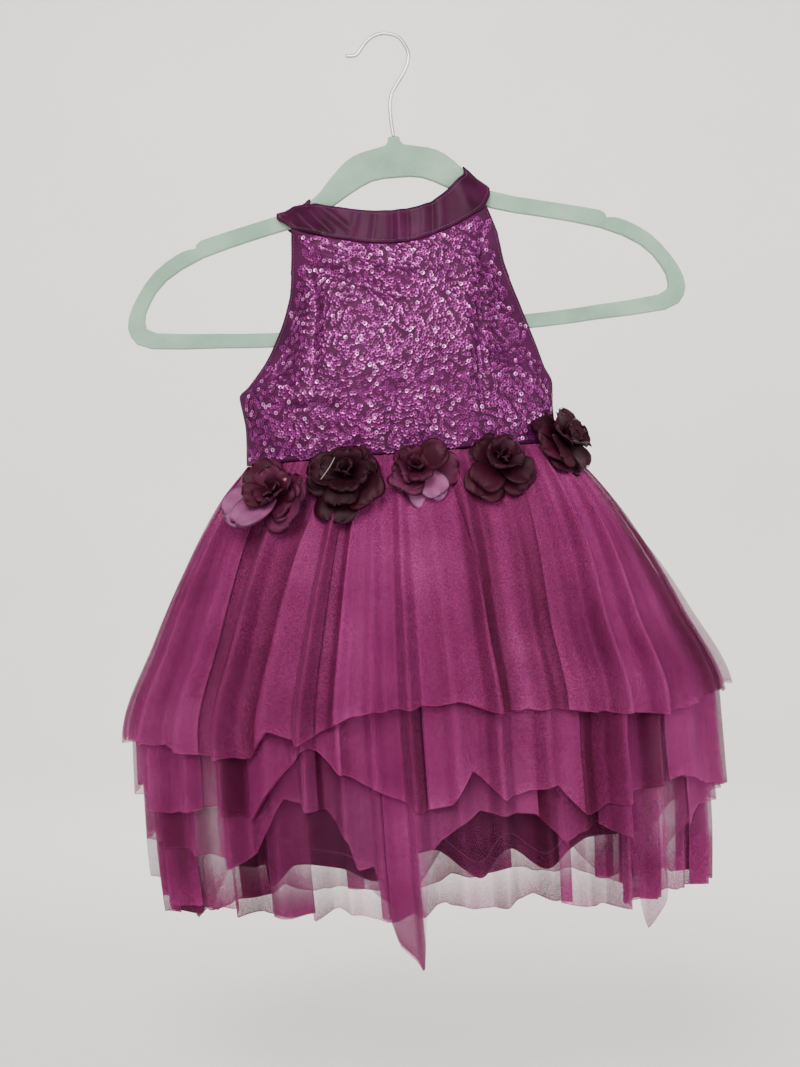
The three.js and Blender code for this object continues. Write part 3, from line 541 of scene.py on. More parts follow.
def tulleLayer(name, layer):
    pleated, plain, level = pleatedPath(layer["pleats"], net["columns"])
    turn = pleated % 360
    edge = frontHem(tulleRings, layer, np.array([0.5, 179.5]))
    backAt, backDrop = zip(*layer["back"])
    back = np.interp(turn, (0, 180.5, *backAt, 360), (edge[0], edge[1], *backDrop, edge[0]))
    hem = np.where((turn > 0.5) & (turn < 179.5), frontHem(tulleRings, layer, turn), back)
    hem = hem + 1.0 * unevenRound(70, layer["seed"] + 40, plain)  # small steps where the gathers reach the hem
    share = np.linspace(0, 1, net["rows"] - 1)[:, None] ** 1.15
    drop = np.concatenate([share * (hem - net["rim"]), hem[None]], 0)
    overlap, apart = (curveThrough(pleatGrowth["drop"], pleatGrowth[key], drop) for key in ("overlap", "apart"))
    onHem = plain + (pleated - plain) * overlap
    lean = roundThrough(foldLean["at"], foldLean["by"], onHem)
    degrees = onHem + lean * (1 - curveThrough([0, 60, 150, 230], [0, 0.42, 0.88, 1], drop))
    # big folds, shared by the layers so that they hang in each other: part dome, part straight-sided
    at, lift = np.array(tulleFolds["at"]), np.array(tulleFolds["lift"])
    span, nextLift = (np.roll(at, -1) - at) % 360, np.roll(lift, -1)
    knots = np.stack([at, at + 0.3 * span, at + 0.68 * span], 1).ravel()
    values = np.stack([net["ridge"] * lift, -net["valley"] * (0.7 * lift + 0.3 * nextLift),
                       -net["valley"] * (0.32 * lift + 0.68 * nextLift)], 1).ravel()
    straight = np.interp(onHem % 360, [*(knots[-2:] - 360), *knots, knots[0] + 360], [*values[-2:], *values, values[0]])
    fold = 0.5 * roundThrough(knots, values, onHem) + 0.5 * straight
    deep = curveThrough(foldDepths["drop"], foldDepths["tulle"], drop)
    # fine gathers of this layer, which die away down the skirt one after the other
    seed = layer["seed"]
    fine, medium, broad, soft = (unevenRound(count, seed + k, plain) for k, count in enumerate((130, 71, 41, 13)))
    gathers = (0.9 * fine * np.exp(-drop / 42) + 1.4 * medium * np.exp(-drop / 85) * (1 - 0.5 * np.exp(-drop / 20))
               + 1.0 * broad * curveThrough([0, 30, 90, 160], [0.2, 0.8, 0.4, 0.05], drop)
               + 2.2 * soft * curveThrough([0, 60, 200, 380], [0, 0.4, 1, 1.2], drop))
    outset = curveThrough(layerDrops, layer["outset"], drop) + deep * fold + gathers + apart * level
    local = skirtPoints(tulleRings, drop, degrees, outset)
    grid = placed(local)
    # crowd: how much net the eye looks through, from the gathers at the waist and from a fold's steep flanks; shade:
    # painted shade, how far the net's colour is darkened on steep flanks, on the plies under a pleat's top ply, in
    # random streaks and in darker sectors round the skirt; it also adds to crowd
    width = np.linalg.norm(np.roll(local, -1, 1) - np.roll(local, 1, 1), axis=-1)
    steep = np.clip(np.abs(np.roll(outset, -1, 1) - np.roll(outset, 1, 1)) / np.maximum(width, 0.1), 0, 1)
    streak = 0.5 + 0.5 * unevenRound(70, seed + 20, plain, 0.1)
    wide = 0.5 + 0.5 * unevenRound(26, seed + 21, plain, 0.1)
    middle, outer = layer["plies"]  # more net lies over itself across the middle than in the flares
    towardsMiddle = np.clip(1.4 - (local[..., 0] / 178) ** 2, 0, 1)
    # painted shade on the plies that lie under a pleat's top ply
    under = np.clip(-level, 0, 1) * overlap
    # the net bunches where a corner of it hangs down
    corner = np.clip((hem - np.percentile(hem, 70)) / 40, 0, 1) * np.clip((drop - 180) / 90, 0, 1)
    uneven = (0.2 * streak ** 2 + 0.3 * wide ** 2 - 0.1) * curveThrough([0, 50, 130, 380], [1, 0.7, 0.3, 0.15], drop)
    shade = 0.3 * steep ** 1.6 + 0.34 * under + uneven + roundThrough(tulleFolds["paintedShadeAt"], tulleFolds["dark"], onHem)
    crowd = (outer + (middle - outer) * towardsMiddle + 0.6 * np.exp(-drop / 34) + shade + 0.4 * corner
             + layer.get("foot", 0) * np.clip((drop - 312) / 26, 0, 1))
    rim = np.zeros(drop.shape)
    rim[-1], rim[-2] = 1, 0.3
    piece = gridMesh(name, grid, True, arcUv(grid, True), {"crowd": np.clip(crowd, -0.4, 1), "shade": np.clip(shade, 0, 1), "rim": rim})
    return dress(piece, tulle, "skirt_tulle", "skirt_" + name.split("_")[1])


tullePieces = {key: tulleLayer(f"tulle_{key}", layer) for key, layer in tulleLayers.items()}
print("tulle hung")

lining = {
    "at": [10, 31, 59, 78, 92, 106, 138, 163, 190, 215, 240, 264, 288, 313, 340],
    "lift": [0.6, 0.9, 1, 1.1, 0.9, 1, 1.2, 0.7, 0.6, 1, 0.9, 1, 0.9, 1, 0.7],
    "hem": [314, 312, 326, 328, 308, 324, 327, 312, 318, 324, 326, 320, 327, 322, 316],
    "columns": 540, "rows": 46, "wall": 0.9,
    "front": [(-165, -312), (-139.6, -301.3), (-121.6, -325.7), (-105.9, -311.6), (-72, -316), (-41.9, -324.2),
              (-2.1, -304.3), (34.4, -327.7), (60, -310), (84.3, -326.2), (127.8, -308.1), (155.9, -310.3), (167, -314)],
}


def liningSkirt():
    angle = np.linspace(360, 0, lining["columns"], endpoint=False)
    around = roundThrough(lining["at"], lining["hem"], angle)
    xs, zs = zip(*lining["front"])
    reach, _ = ringFlat(liningRings, np.full(angle.shape, 320.0), angle)
    fade = np.clip(np.sin(np.radians(angle)) / 0.12, 0, 1)
    hem = fade * -curveThrough(xs, zs, reach) + (1 - fade) * around
    share = np.linspace(0, 1, lining["rows"] - 5)[:, None]
    roll = np.array([-2.2, -1.2, -0.4, 0, 0])[:, None]  # the hem is turned up 12 mm and rolls over its own edge
    drop = np.concatenate([share[:-1] * (hem - 12), hem - 12 + np.zeros((1, 1)), hem + roll], 0)
    at, lift = np.array(lining["at"]), np.array(lining["lift"])
    span, nextLift = (np.roll(at, -1) - at) % 360, np.roll(lift, -1)
    knots = np.stack([at, at + 0.32 * span, at + 0.66 * span], 1).ravel()
    values = np.stack([lift, -0.45 * (0.7 * lift + 0.3 * nextLift), -0.45 * (0.3 * lift + 0.7 * nextLift)], 1).ravel()
    fold = roundThrough(knots, values, angle)
    deep = curveThrough(foldDepths["drop"], foldDepths["lining"], drop)
    tucks = 0.9 * unevenRound(46, 31, angle) * np.exp(-drop / 70) + 0.8 * unevenRound(17, 32, angle)
    turned = np.concatenate([np.zeros((drop.shape[0] - 6, 1)), [[-0.25], [0.35], [0.3], [0.1], [-0.4], [-0.9]]], 0)
    outset = deep * fold + tucks * np.clip(drop / 30, 0.2, 1) + turned
    lining["grid"] = skirtPoints(liningRings, drop, angle, outset)
    grid = placed(lining["grid"])
    piece = gridMesh("lining_skirt", grid, True, arcUv(grid, True))
    return dress(thickened(piece, lining["wall"], -1), liningSatin, "lining_satin", "skirt_lining")


liningPiece = liningSkirt()
print("lining hung")

# ---- neckband ----
band = {
    "top": [(-57.5, 204.18), (-50, 202.3), (-35, 199), (-18, 195), (0, 193), (18, 193.2), (34, 196), (46, 202),
            (56.5, 210.5), (66.5, 220.32)],
    "bottom": [(-85, 195.04), (-73, 185.4), (-57, 178.8), (-30, 171.6), (-4, 166.8), (22, 167.2), (50, 174.6),
               (70, 184), (81, 191), (86, 202.34)],
    "left": {"across": [0, 0.236, 0.491, 0.745, 1], "x": [-57.5, -64, -71, -78, -85],
             "z": [208.4, 204.63, 202.36, 200.09, 198.43]},
    "right": {"across": [0, 0.251, 0.503, 0.749, 1], "x": [66.5, 71.4, 76.3, 81.1, 86],
              "z": [225.1, 219.62, 214.13, 210.31, 206.33]},
    "side": 4.0, "over": 3.5, "front": 13.0, "back": 11.0, "sagBack": 6.0, "power": 0.8, "topShare": 0.75,
    "columns": 17, "rows": 21, "around": 420, "wall": 1.2,
}


def catmullRom(points, share):
    points = np.asarray(points, float)
    last = len(points) - 1
    i = np.minimum((share * last).astype(int), last - 1)
    w = (share * last - i)[..., None]
    p0, p1, p2, p3 = (points[np.clip(i + k, 0, last)] for k in (-1, 0, 1, 2))
    v0, v1 = (p2 - p0) / 2, (p3 - p1) / 2
    return (2 * p1 - 2 * p2 + v0 + v1) * w ** 3 + (-3 * p1 + 3 * p2 - 2 * v0 - v1) * w ** 2 + v0 * w + p1


def bandPoints(share, across, side):
    # share runs from the left arm to the right, across from the top edge to the bottom; side -1 is the front
    share, across = np.broadcast_arrays(np.asarray(share, float), np.asarray(across, float))
    top, bottom = catmullRom(band["top"], share), catmullRom(band["bottom"], share)
    flat = top + (bottom - top) * across[..., None]
    swell = np.sin(np.pi * share) ** band["power"]
    depth = (band["front"] if side < 0 else band["back"]) * swell * (band["topShare"] + (1 - band["topShare"]) * across)
    sag = 0 if side < 0 else band["sagBack"] * swell
    return np.stack([flat[..., 0], side * (band["side"] + depth), flat[..., 1] - sag], -1)


def surfaceNormals(grid, closed=False):
    # outwards, for a grid whose columns run right and rows run down
    alongRow = (np.roll(grid, -1, 1) - np.roll(grid, 1, 1)) if closed else np.gradient(grid, axis=1)
    cross = np.cross(np.gradient(grid, axis=0), alongRow)
    return cross / np.maximum(np.linalg.norm(cross, axis=-1, keepdims=True), 1e-9)


def creased(grid, creases, closed=False, side=-1):
    # grid in garment mm; each crease is a line of (x, z) points with a width and a depth, drawn on one side
    push = np.zeros(grid.shape[:2])
    x, z = grid[..., 0], grid[..., 2]
    onSide = grid[..., 1] * side > 0
    for crease in creases:
        points = np.array(crease["line"], float)
        nearest = np.full(x.shape, 1e9)
        along = np.zeros(x.shape)
        for k in range(len(points) - 1):
            start, run = points[k], points[k + 1] - points[k]
            t = np.clip(((x - start[0]) * run[0] + (z - start[1]) * run[1]) / (run @ run), 0, 1)
            far = np.hypot(x - start[0] - t * run[0], z - start[1] - t * run[1])
            along = np.where(far < nearest, (k + t) / (len(points) - 1), along)
            nearest = np.minimum(nearest, far)
        fade = np.clip(np.minimum(along, 1 - along) / crease.get("fade", 0.25), 0, 1) ** 0.7 if crease.get("fade", 1) else 1
        push += np.where(onSide, crease["depth"] * np.exp(-(nearest / crease["width"]) ** 2) * fade, 0)
    return grid + surfaceNormals(grid, closed) * push[..., None]


bandCreases = [
    {"line": [(7, 196), (6, 178), (4, 160)], "width": 2.6, "depth": -1.7},
    {"line": [(12.5, 196), (12, 172), (12, 158)], "width": 3.2, "depth": 1.5},
    {"line": [(19, 196), (18.5, 178), (17, 162)], "width": 2.2, "depth": -1.5},
    {"line": [(39, 202), (38.5, 186), (37, 166)], "width": 2.4, "depth": -1.6},
    {"line": [(33, 200), (32, 182), (30, 166)], "width": 3.2, "depth": 1.2},
    {"line": [(46, 206), (46, 190), (45, 170)], "width": 3.4, "depth": 0.9},
    {"line": [(-20, 198), (-24, 182), (-30, 168)], "width": 3.4, "depth": 1.0},
    {"line": [(-6, 195), (-8, 182), (-12, 166)], "width": 2.8, "depth": -0.9},
    {"line": [(-64, 206), (-52, 190), (-40, 177)], "width": 2.6, "depth": -1.6, "fade": 0.1},
    {"line": [(-57, 207), (-42, 194), (-26, 178)], "width": 2.8, "depth": 1.5, "fade": 0.15},
    {"line": [(-72, 203), (-62, 188), (-52, 178)], "width": 3.0, "depth": 1.9, "fade": 0.1},
    {"line": [(-80, 200), (-73, 190), (-66, 180)], "width": 2.4, "depth": -1.3, "fade": 0.1},
    {"line": [(62, 216), (66, 200), (70, 186)], "width": 4.0, "depth": 0.9},
]
bandCreasesBack = [
    {"line": [(-40, 196), (-36, 180), (-34, 164)], "width": 3.0, "depth": 1.3},
    {"line": [(-28, 194), (-26, 178), (-24, 160)], "width": 2.4, "depth": -1.2},
    {"line": [(30, 196), (28, 180), (27, 160)], "width": 3.0, "depth": 1.2},
    {"line": [(44, 200), (42, 184), (40, 166)], "width": 2.4, "depth": -1.3},
]


def neckbandGrid():
    across = np.linspace(0, 1, band["rows"])[:, None]
    share = np.linspace(0, 1, band["columns"])[None]
    front, back = bandPoints(share, across, -1), bandPoints(share[:, ::-1], across, 1)

    def overArm(end, turns):
        xs, zs = (np.interp(across, end["across"], end[key]) for key in ("x", "z"))
        return np.concatenate([np.stack([xs, 0 * xs + turn * band["over"], zs], -1) for turn in turns], 1)

    keys = np.concatenate([front, overArm(band["right"], (-1, 0, 1)), back, overArm(band["left"], (1, 0, -1))], 1)
    middle = keys[band["rows"] // 2]
    steps = np.linalg.norm(np.roll(middle, -1, 0) - middle, axis=-1)
    at = np.concatenate([[0], np.cumsum(steps)[:-1]])
    places = np.linspace(0, steps.sum(), band["around"], endpoint=False)
    grid = np.stack([np.stack([roundThrough(at, row[:, k], places, steps.sum()) for k in range(3)], -1)
                     for row in keys])
    grid = creased(creased(grid, bandCreases, True), bandCreasesBack, True, 1)
    # both long edges are folded over and pressed, and roll in a little
    roll = 0.5 * np.exp(-((across * 27) / 1.2) ** 2) + 0.5 * np.exp(-(((1 - across) * 27) / 1.2) ** 2)
    press = 0.25 * np.exp(-((across * 27 - 3.2) / 0.7) ** 2) + 0.25 * np.exp(-(((1 - across) * 27 - 3.2) / 0.7) ** 2)
    return grid - surfaceNormals(grid, True) * (roll + press)[..., None]


bandGrid = neckbandGrid()
bandPiece = gridMesh("neckband_satin", placed(bandGrid), True, arcUv(placed(bandGrid), True))
dress(thickened(bandPiece, band["wall"]), bandSatin, "band_satin", "neckband")
print("neckband folded")

# ---- bodice ----
bodice = {
    "leftX": [-74, -76.5, -84, -93.5, -104, -117, -125.5, -122.5, -124],
    "leftZ": [184, 153, 123, 98.7, 79, 63, 54, 28, 0],
    "rightX": [83.5, 93, 101, 107.5, 113.5, 118.5, 124, 123, 124],
    "rightZ": [192, 158, 123, 98, 78, 61, 47, 27, 0],
    "edge": [5.2, 5, 5, 5, 4.4, 2.6, 0.6, 0.6, 0.6],
    "depth": [12.5, 17, 21, 24, 27, 29.5, 31, 31, 30],
    "power": [2.2, 2.6, 3, 3, 3, 2.8, 2.6, 2.6, 2.6],
    "round": [0.9, 0.95, 1, 1, 0.95, 0.85, 0.68, 0.64, 0.62],
    "inset": [1.5, 1.5, 1.5, 1.5, 1.5, 1.5, 0, 0, 0],
    "backShare": 0.8, "seam": (0.105, 0.905), "seamGap": 0.6, "sagFoot": 60.0, "sagPower": 1.6,
    "rows": 110, "columns": 150, "slit": 0.004, "wall": 1.0,
}
bodiceCreases = [
    {"line": [(93, 168), (89, 115), (88, 62)], "width": 13, "depth": -5.0, "fade": 0.2},
    {"line": [(-76, 150), (-84, 105), (-92, 60)], "width": 11, "depth": -3.5, "fade": 0.2},
    {"line": [(80, 172), (71.3, 113), (67.1, 78.4), (66.6, 31)], "width": 4.5, "depth": -3.2, "fade": 0.12},
    {"line": [(72, 172), (60, 110), (56, 60), (56, 25)], "width": 9, "depth": 2.2, "fade": 0.15},
    {"line": [(90, 120), (96, 80), (98, 30)], "width": 9, "depth": 1.6, "fade": 0.2},
    {"line": [(-60, 150), (-58, 123), (-62.5, 88), (-66, 55)], "width": 4, "depth": -2.4, "fade": 0.2},
    {"line": [(-66, 172), (-32.7, 152), (0, 141), (30, 138)], "width": 5, "depth": 1.9, "fade": 0.2},
    {"line": [(-64, 155), (-33.5, 141), (-3.4, 127), (20, 122)], "width": 3.6, "depth": -1.9, "fade": 0.2},
    {"line": [(-50, 130), (-20, 112), (10, 106)], "width": 6, "depth": 0.9, "fade": 0.3},
    {"line": [(-88, 41), (-66, 42), (-45, 37)], "width": 2.6, "depth": -1.5, "fade": 0.2},
    {"line": [(-90, 47), (-62, 48), (-40, 46)], "width": 3.4, "depth": 1.1, "fade": 0.2},
    {"line": [(-45, 46), (-30, 44), (-12, 43)], "width": 2.4, "depth": -1.0, "fade": 0.25},
    {"line": [(-54, 4), (-52, 30), (-50, 62)], "width": 4, "depth": -1.8, "fade": 0.3},
    {"line": [(-36, 4), (-35, 32), (-34, 58)], "width": 4, "depth": 1.6, "fade": 0.3},
    {"line": [(-4, 2), (-3, 26), (-1, 56)], "width": 4.4, "depth": -1.4, "fade": 0.3},
    {"line": [(18, 2), (18, 24), (20, 52)], "width": 4.6, "depth": 1.6, "fade": 0.3},
    {"line": [(41, 2), (41, 22), (43, 50)], "width": 4.2, "depth": -1.5, "fade": 0.3},
    {"line": [(94, 2), (95, 30), (97, 56)], "width": 4, "depth": -1.4, "fade": 0.3},
    {"line": [(-100, 76), (-86, 66), (-70, 62)], "width": 4, "depth": -1.3, "fade": 0.25},
    {"line": [(104, 90), (90, 76), (76, 70)], "width": 5, "depth": -1.2, "fade": 0.25},
]
bodiceCreasesBack = [
    {"line": [(-70, 160), (-66, 110), (-68, 60)], "width": 5, "depth": 1.8, "fade": 0.2},
    {"line": [(76, 168), (70, 120), (72, 50)], "width": 5, "depth": 1.7, "fade": 0.2},
    {"line": [(-40, 6), (-38, 40), (-34, 90)], "width": 5, "depth": -1.5, "fade": 0.3},
    {"line": [(46, 6), (44, 36), (40, 80)], "width": 5, "depth": -1.4, "fade": 0.3},
    {"line": [(-90, 60), (-60, 66), (-30, 60)], "width": 4, "depth": -1.1, "fade": 0.3},
    {"line": [(30, 64), (60, 70), (92, 62)], "width": 4, "depth": -1.2, "fade": 0.3},
]


def bodicePoints(row, place, side):
    row, place = np.broadcast_arrays(np.asarray(row, float), np.asarray(place, float))
    rows = np.arange(9.0)

    def at(key, where=row):
        return curveThrough(rows, bodice[key], where)

    seam = bandPoints(np.interp(place, (-1, 1), bodice["seam"]), np.ones(place.shape), side)
    seam[..., 2] -= bodice["seamGap"]
    across = (place + 1) / 2
    topZ = bodice["leftZ"][0] + (bodice["rightZ"][0] - bodice["leftZ"][0]) * across
    sag = seam[..., 2] - topZ
    above = np.clip(at("leftZ") - bodice["sagFoot"], 0, None) / (bodice["leftZ"][0] - bodice["sagFoot"])
    half = (at("rightX") - at("leftX")) / 2 - (at("inset") if side > 0 else 0)
    depth = at("depth") * (1 if side < 0 else bodice["backShare"])
    bow = np.clip(1 - np.abs(place) ** at("power"), 0, None) ** at("round")
    points = np.stack([(at("rightX") + at("leftX")) / 2 + half * place, side * (at("edge") + depth * bow),
                       at("leftZ") + (at("rightZ") - at("leftZ")) * across + sag * above ** bodice["sagPower"]], -1)
    if np.any(row < 1):
        start = bodicePointsAtTop(place, side)
        points += (seam - start) * (np.clip(1 - row, 0, 1) ** 1.5)[..., None]
    return points


def bodicePointsAtTop(place, side):
    first = {key: bodice[key][0] for key in ("leftX", "leftZ", "rightX", "rightZ", "edge", "depth", "power", "round", "inset")}
    seam = bandPoints(np.interp(place, (-1, 1), bodice["seam"]), np.ones(place.shape), side)
    half = (first["rightX"] - first["leftX"]) / 2 - (first["inset"] if side > 0 else 0)
    depth = first["depth"] * (1 if side < 0 else bodice["backShare"])
    bow = np.clip(1 - np.abs(place) ** first["power"], 0, None) ** first["round"]
    return np.stack([(first["rightX"] + first["leftX"]) / 2 + half * place, side * (first["edge"] + depth * bow),
                     seam[..., 2] - bodice["seamGap"]], -1)


def bodiceGrid(side, start, end, columns):
    place = np.cos(np.linspace(math.acos(start), math.acos(end), columns))[None]
    row = (np.linspace(0, 1, bodice["rows"]) * 8)[:, None]
    grid = bodicePoints(row, place, side)
    return creased(grid, bodiceCreases if side < 0 else bodiceCreasesBack, False, side)


panels = {
    "front": {"node": "bodice_front", "side": -1, "from": -1.0, "to": 1.0, "columns": 150, "seed": 5},
    "back_right": {"node": "bodice_back_right", "side": 1, "from": 1.0, "to": bodice["slit"], "columns": 76, "seed": 6},
    "back_left": {"node": "bodice_back_left", "side": 1, "from": -bodice["slit"], "to": -1.0, "columns": 76, "seed": 7},
}
for key, panel in panels.items():
    panel["grid"] = bodiceGrid(panel["side"], panel["from"], panel["to"], panel["columns"])
    wall = placed(panel["grid"])
    piece = gridMesh(f"bodice_{key}_net", wall, False, arcUv(wall))
    dress(thickened(piece, bodice["wall"]), bodiceNet, "bodice_sequins", panel["node"])
print("bodice sewn")

# ---- sequins ----
sequins = {"pitch": 2.9, "spacing": 4.0, "edge": 4.2, "top": 2.8, "foot": 3.0, "radius": 1.65, "hole": 0.68, "cup": 0.16,
           "tilt": 7.0, "above": 0.95, "wander": 0.6, "bends": ((2.4, 23.0), (1.3, 11.0))}


def labyrinth(inside, seed):
    # a random tree joins the cells of the panel, and the line runs once round the tree: one long meander, as it is
    # sewn on the net. inside[row][column] says which cells lie on the panel; each is two lines wide and high.
    rng = np.random.default_rng(seed)
    cells = {(int(i), int(j)) for i, j in zip(*np.nonzero(inside))}
    loops = []
    while cells:
        start = min(cells)
        joined, joins = {start}, set()
        edges = [(rng.random(), start, k) for k in range(4)]
        ways = ((0, 1), (1, 0), (0, -1), (-1, 0))
        while edges:
            pick = int(rng.integers(max(0, len(edges) - 14), len(edges)))
            _, cell, k = edges.pop(pick)
            other = (cell[0] + ways[k][0], cell[1] + ways[k][1])
            if other in cells and other not in joined:
                joined.add(other)
                joins.update({(cell, other), (other, cell)})
                edges += [(rng.random(), other, n) for n in rng.permutation(4)]
        beside = {}
        for i, j in joined:
            corner = {(a, b): (2 * i + a, 2 * j + b) for a in (0, 1) for b in (0, 1)}
            sides = (((i - 1, j), (0, 0), (0, 1)), ((i + 1, j), (1, 0), (1, 1)),
                     ((i, j - 1), (0, 0), (1, 0)), ((i, j + 1), (0, 1), (1, 1)))
            for other, a, b in sides:
                step = (other[0] - i, other[1] - j)
                if ((i, j), other) in joins:
                    pairs = [(corner[a], (corner[a][0] + step[0], corner[a][1] + step[1])),
                             (corner[b], (corner[b][0] + step[0], corner[b][1] + step[1]))]
                else:
                    pairs = [(corner[a], corner[b])]
                for one, two in pairs:
                    beside.setdefault(one, set()).add(two)
                    beside.setdefault(two, set()).add(one)
        first = (2 * start[0], 2 * start[1])
        line, last, here = [first], first, min(beside[first])
        while here != first:
            line.append(here)
            last, here = here, next(node for node in beside[here] if node != last)
        loops.append(np.array(line, float))
        cells -= joined
    return loops


def onPanel(grid, reference, u, v):
    # flat millimetres on a panel, across from its reference column and down it, to the place and the way it faces
    down = np.concatenate([[0], np.cumsum(np.linalg.norm(np.diff(grid[:, reference], axis=0), axis=-1))])
    arc = np.concatenate([np.zeros((grid.shape[0], 1)),
                          np.cumsum(np.linalg.norm(np.diff(grid, axis=1), axis=-1), 1)], 1)
    arc -= arc[:, [reference]]
    row = np.interp(v, down, np.arange(len(down)))
    r = np.minimum(row.astype(int), grid.shape[0] - 2)
    t = row - r
    column = np.array([(1 - w) * np.interp(x, arc[k], np.arange(grid.shape[1]))
                       + w * np.interp(x, arc[k + 1], np.arange(grid.shape[1])) for x, k, w in zip(u, r, t)])
    c = np.minimum(column.astype(int), grid.shape[1] - 2)
    q, t = (column - c)[:, None], t[:, None]

    def sampled(values):
        return ((1 - t) * ((1 - q) * values[r, c] + q * values[r, c + 1])
                + t * ((1 - q) * values[r + 1, c] + q * values[r + 1, c + 1]))

    return sampled(grid), sampled(surfaceNormals(grid))


def sewnPath(panel):
    # the sequins' line on a panel, in garment millimetres, with the way the panel faces at each point
    grid, step = panel["grid"], sequins["spacing"]
    reference = {"bodice_front": grid.shape[1] // 2, "bodice_back_right": grid.shape[1] - 1,
                 "bodice_back_left": 0}[panel["node"]]
    down = np.concatenate([[0], np.cumsum(np.linalg.norm(np.diff(grid[:, reference], axis=0), axis=-1))])
    arc = np.concatenate([np.zeros((grid.shape[0], 1)),
                          np.cumsum(np.linalg.norm(np.diff(grid, axis=1), axis=-1), 1)], 1)
    arc -= arc[:, [reference]]
    v = np.linspace(sequins["top"], down[-1] - sequins["foot"], round((down[-1] - sequins["top"] - sequins["foot"]) / step / 2) * 2)
    widest = max(-arc.min(), arc.max())
    u = np.arange(-math.ceil(widest / step / 2) * 2, math.ceil(widest / step / 2) * 2) * step + step / 2
    row = np.interp(v, down, np.arange(len(down)))
    left, right = (np.interp(row, np.arange(len(down)), side) for side in (arc[:, 0], arc[:, -1]))
    fits = (u[None] > left[:, None] + sequins["edge"]) & (u[None] < right[:, None] - sequins["edge"])
    inside = fits[0::2, 0::2] & fits[1::2, 0::2] & fits[0::2, 1::2] & fits[1::2, 1::2]
    rng = np.random.default_rng(panel["seed"])
    paths = []
    for loop in labyrinth(inside, panel["seed"]):
        loop = loop + rng.uniform(-sequins["wander"], sequins["wander"], loop.shape) / step
        for _ in range(2):  # corners cut twice, so that the line bends as thread does
            ahead = np.roll(loop, -1, 0)
            loop = np.stack([0.75 * loop + 0.25 * ahead, 0.25 * loop + 0.75 * ahead], 1).reshape(-1, 2)
        across, below = u[0] + loop[:, 1] * step, v[0] + loop[:, 0] * (v[1] - v[0])
        for size, length in sequins["bends"]:  # and the whole pattern winds to and fro
            a, b = rng.uniform(0, 2 * math.pi, 2)
            across, below = (across + size * np.sin(2 * math.pi * below / length + a + np.sin(across / length * 2)),
                             below + size * np.sin(2 * math.pi * across / length + b + np.sin(below / length * 2)))
        row = np.interp(below, down, np.arange(len(down)))
        low, high = (np.interp(row, np.arange(len(down)), side) for side in (arc[:, 0], arc[:, -1]))
        across = np.clip(across, low + 3.2, high - 3.2)
        paths.append(onPanel(grid, reference, across, np.clip(below, 2.2, down[-1] - 1.5)))
    return paths


def pathPiece(name, paths, above, closed=True):
    # lines of points lifted off the cloth, each with the way it faces: what the sewing trees run along
    mesh = bpy.data.meshes.new(name)
    points = np.concatenate([placed(place + facing * above) for place, facing in paths])
    facings = np.concatenate([placed(place + facing) - placed(place) for place, facing in paths]) * 1000
    edges, start = [], 0
    for place, _ in paths:
        index = start + np.arange(len(place))
        pairs = np.stack([index, np.roll(index, -1)], 1)
        edges += (pairs if closed else pairs[:-1]).tolist()
        start += len(place)
    mesh.from_pydata(points.tolist(), edges, [])
    mesh.attributes.new("facing", "FLOAT_VECTOR", "POINT").data.foreach_set("vector", facings.astype(np.float32).ravel())
    piece = bpy.data.objects.new(name, mesh)
    bpy.context.scene.collection.objects.link(piece)
    return piece


def newTree(name, inputs):
    # a geometry tree with the named size inputs, and the identifier of each
    tree = bpy.data.node_groups.new(name, "GeometryNodeTree")
    tree.interface.new_socket("Geometry", in_out="INPUT", socket_type="NodeSocketGeometry")
    tree.interface.new_socket("Geometry", in_out="OUTPUT", socket_type="NodeSocketGeometry")
    ids = {}
    for key, kind in inputs:
        ids[key] = tree.interface.new_socket(key, in_out="INPUT", socket_type=kind).identifier
    return tree, ids, addNode(tree, "NodeGroupInput"), addNode(tree, "NodeGroupOutput")


def sewn(piece, tree, ids, values):
    modifier = piece.modifiers.new("sewing", "NODES")
    modifier.node_group = tree
    for key, value in values.items():
        modifier[ids[key]] = value
    return kept(piece)


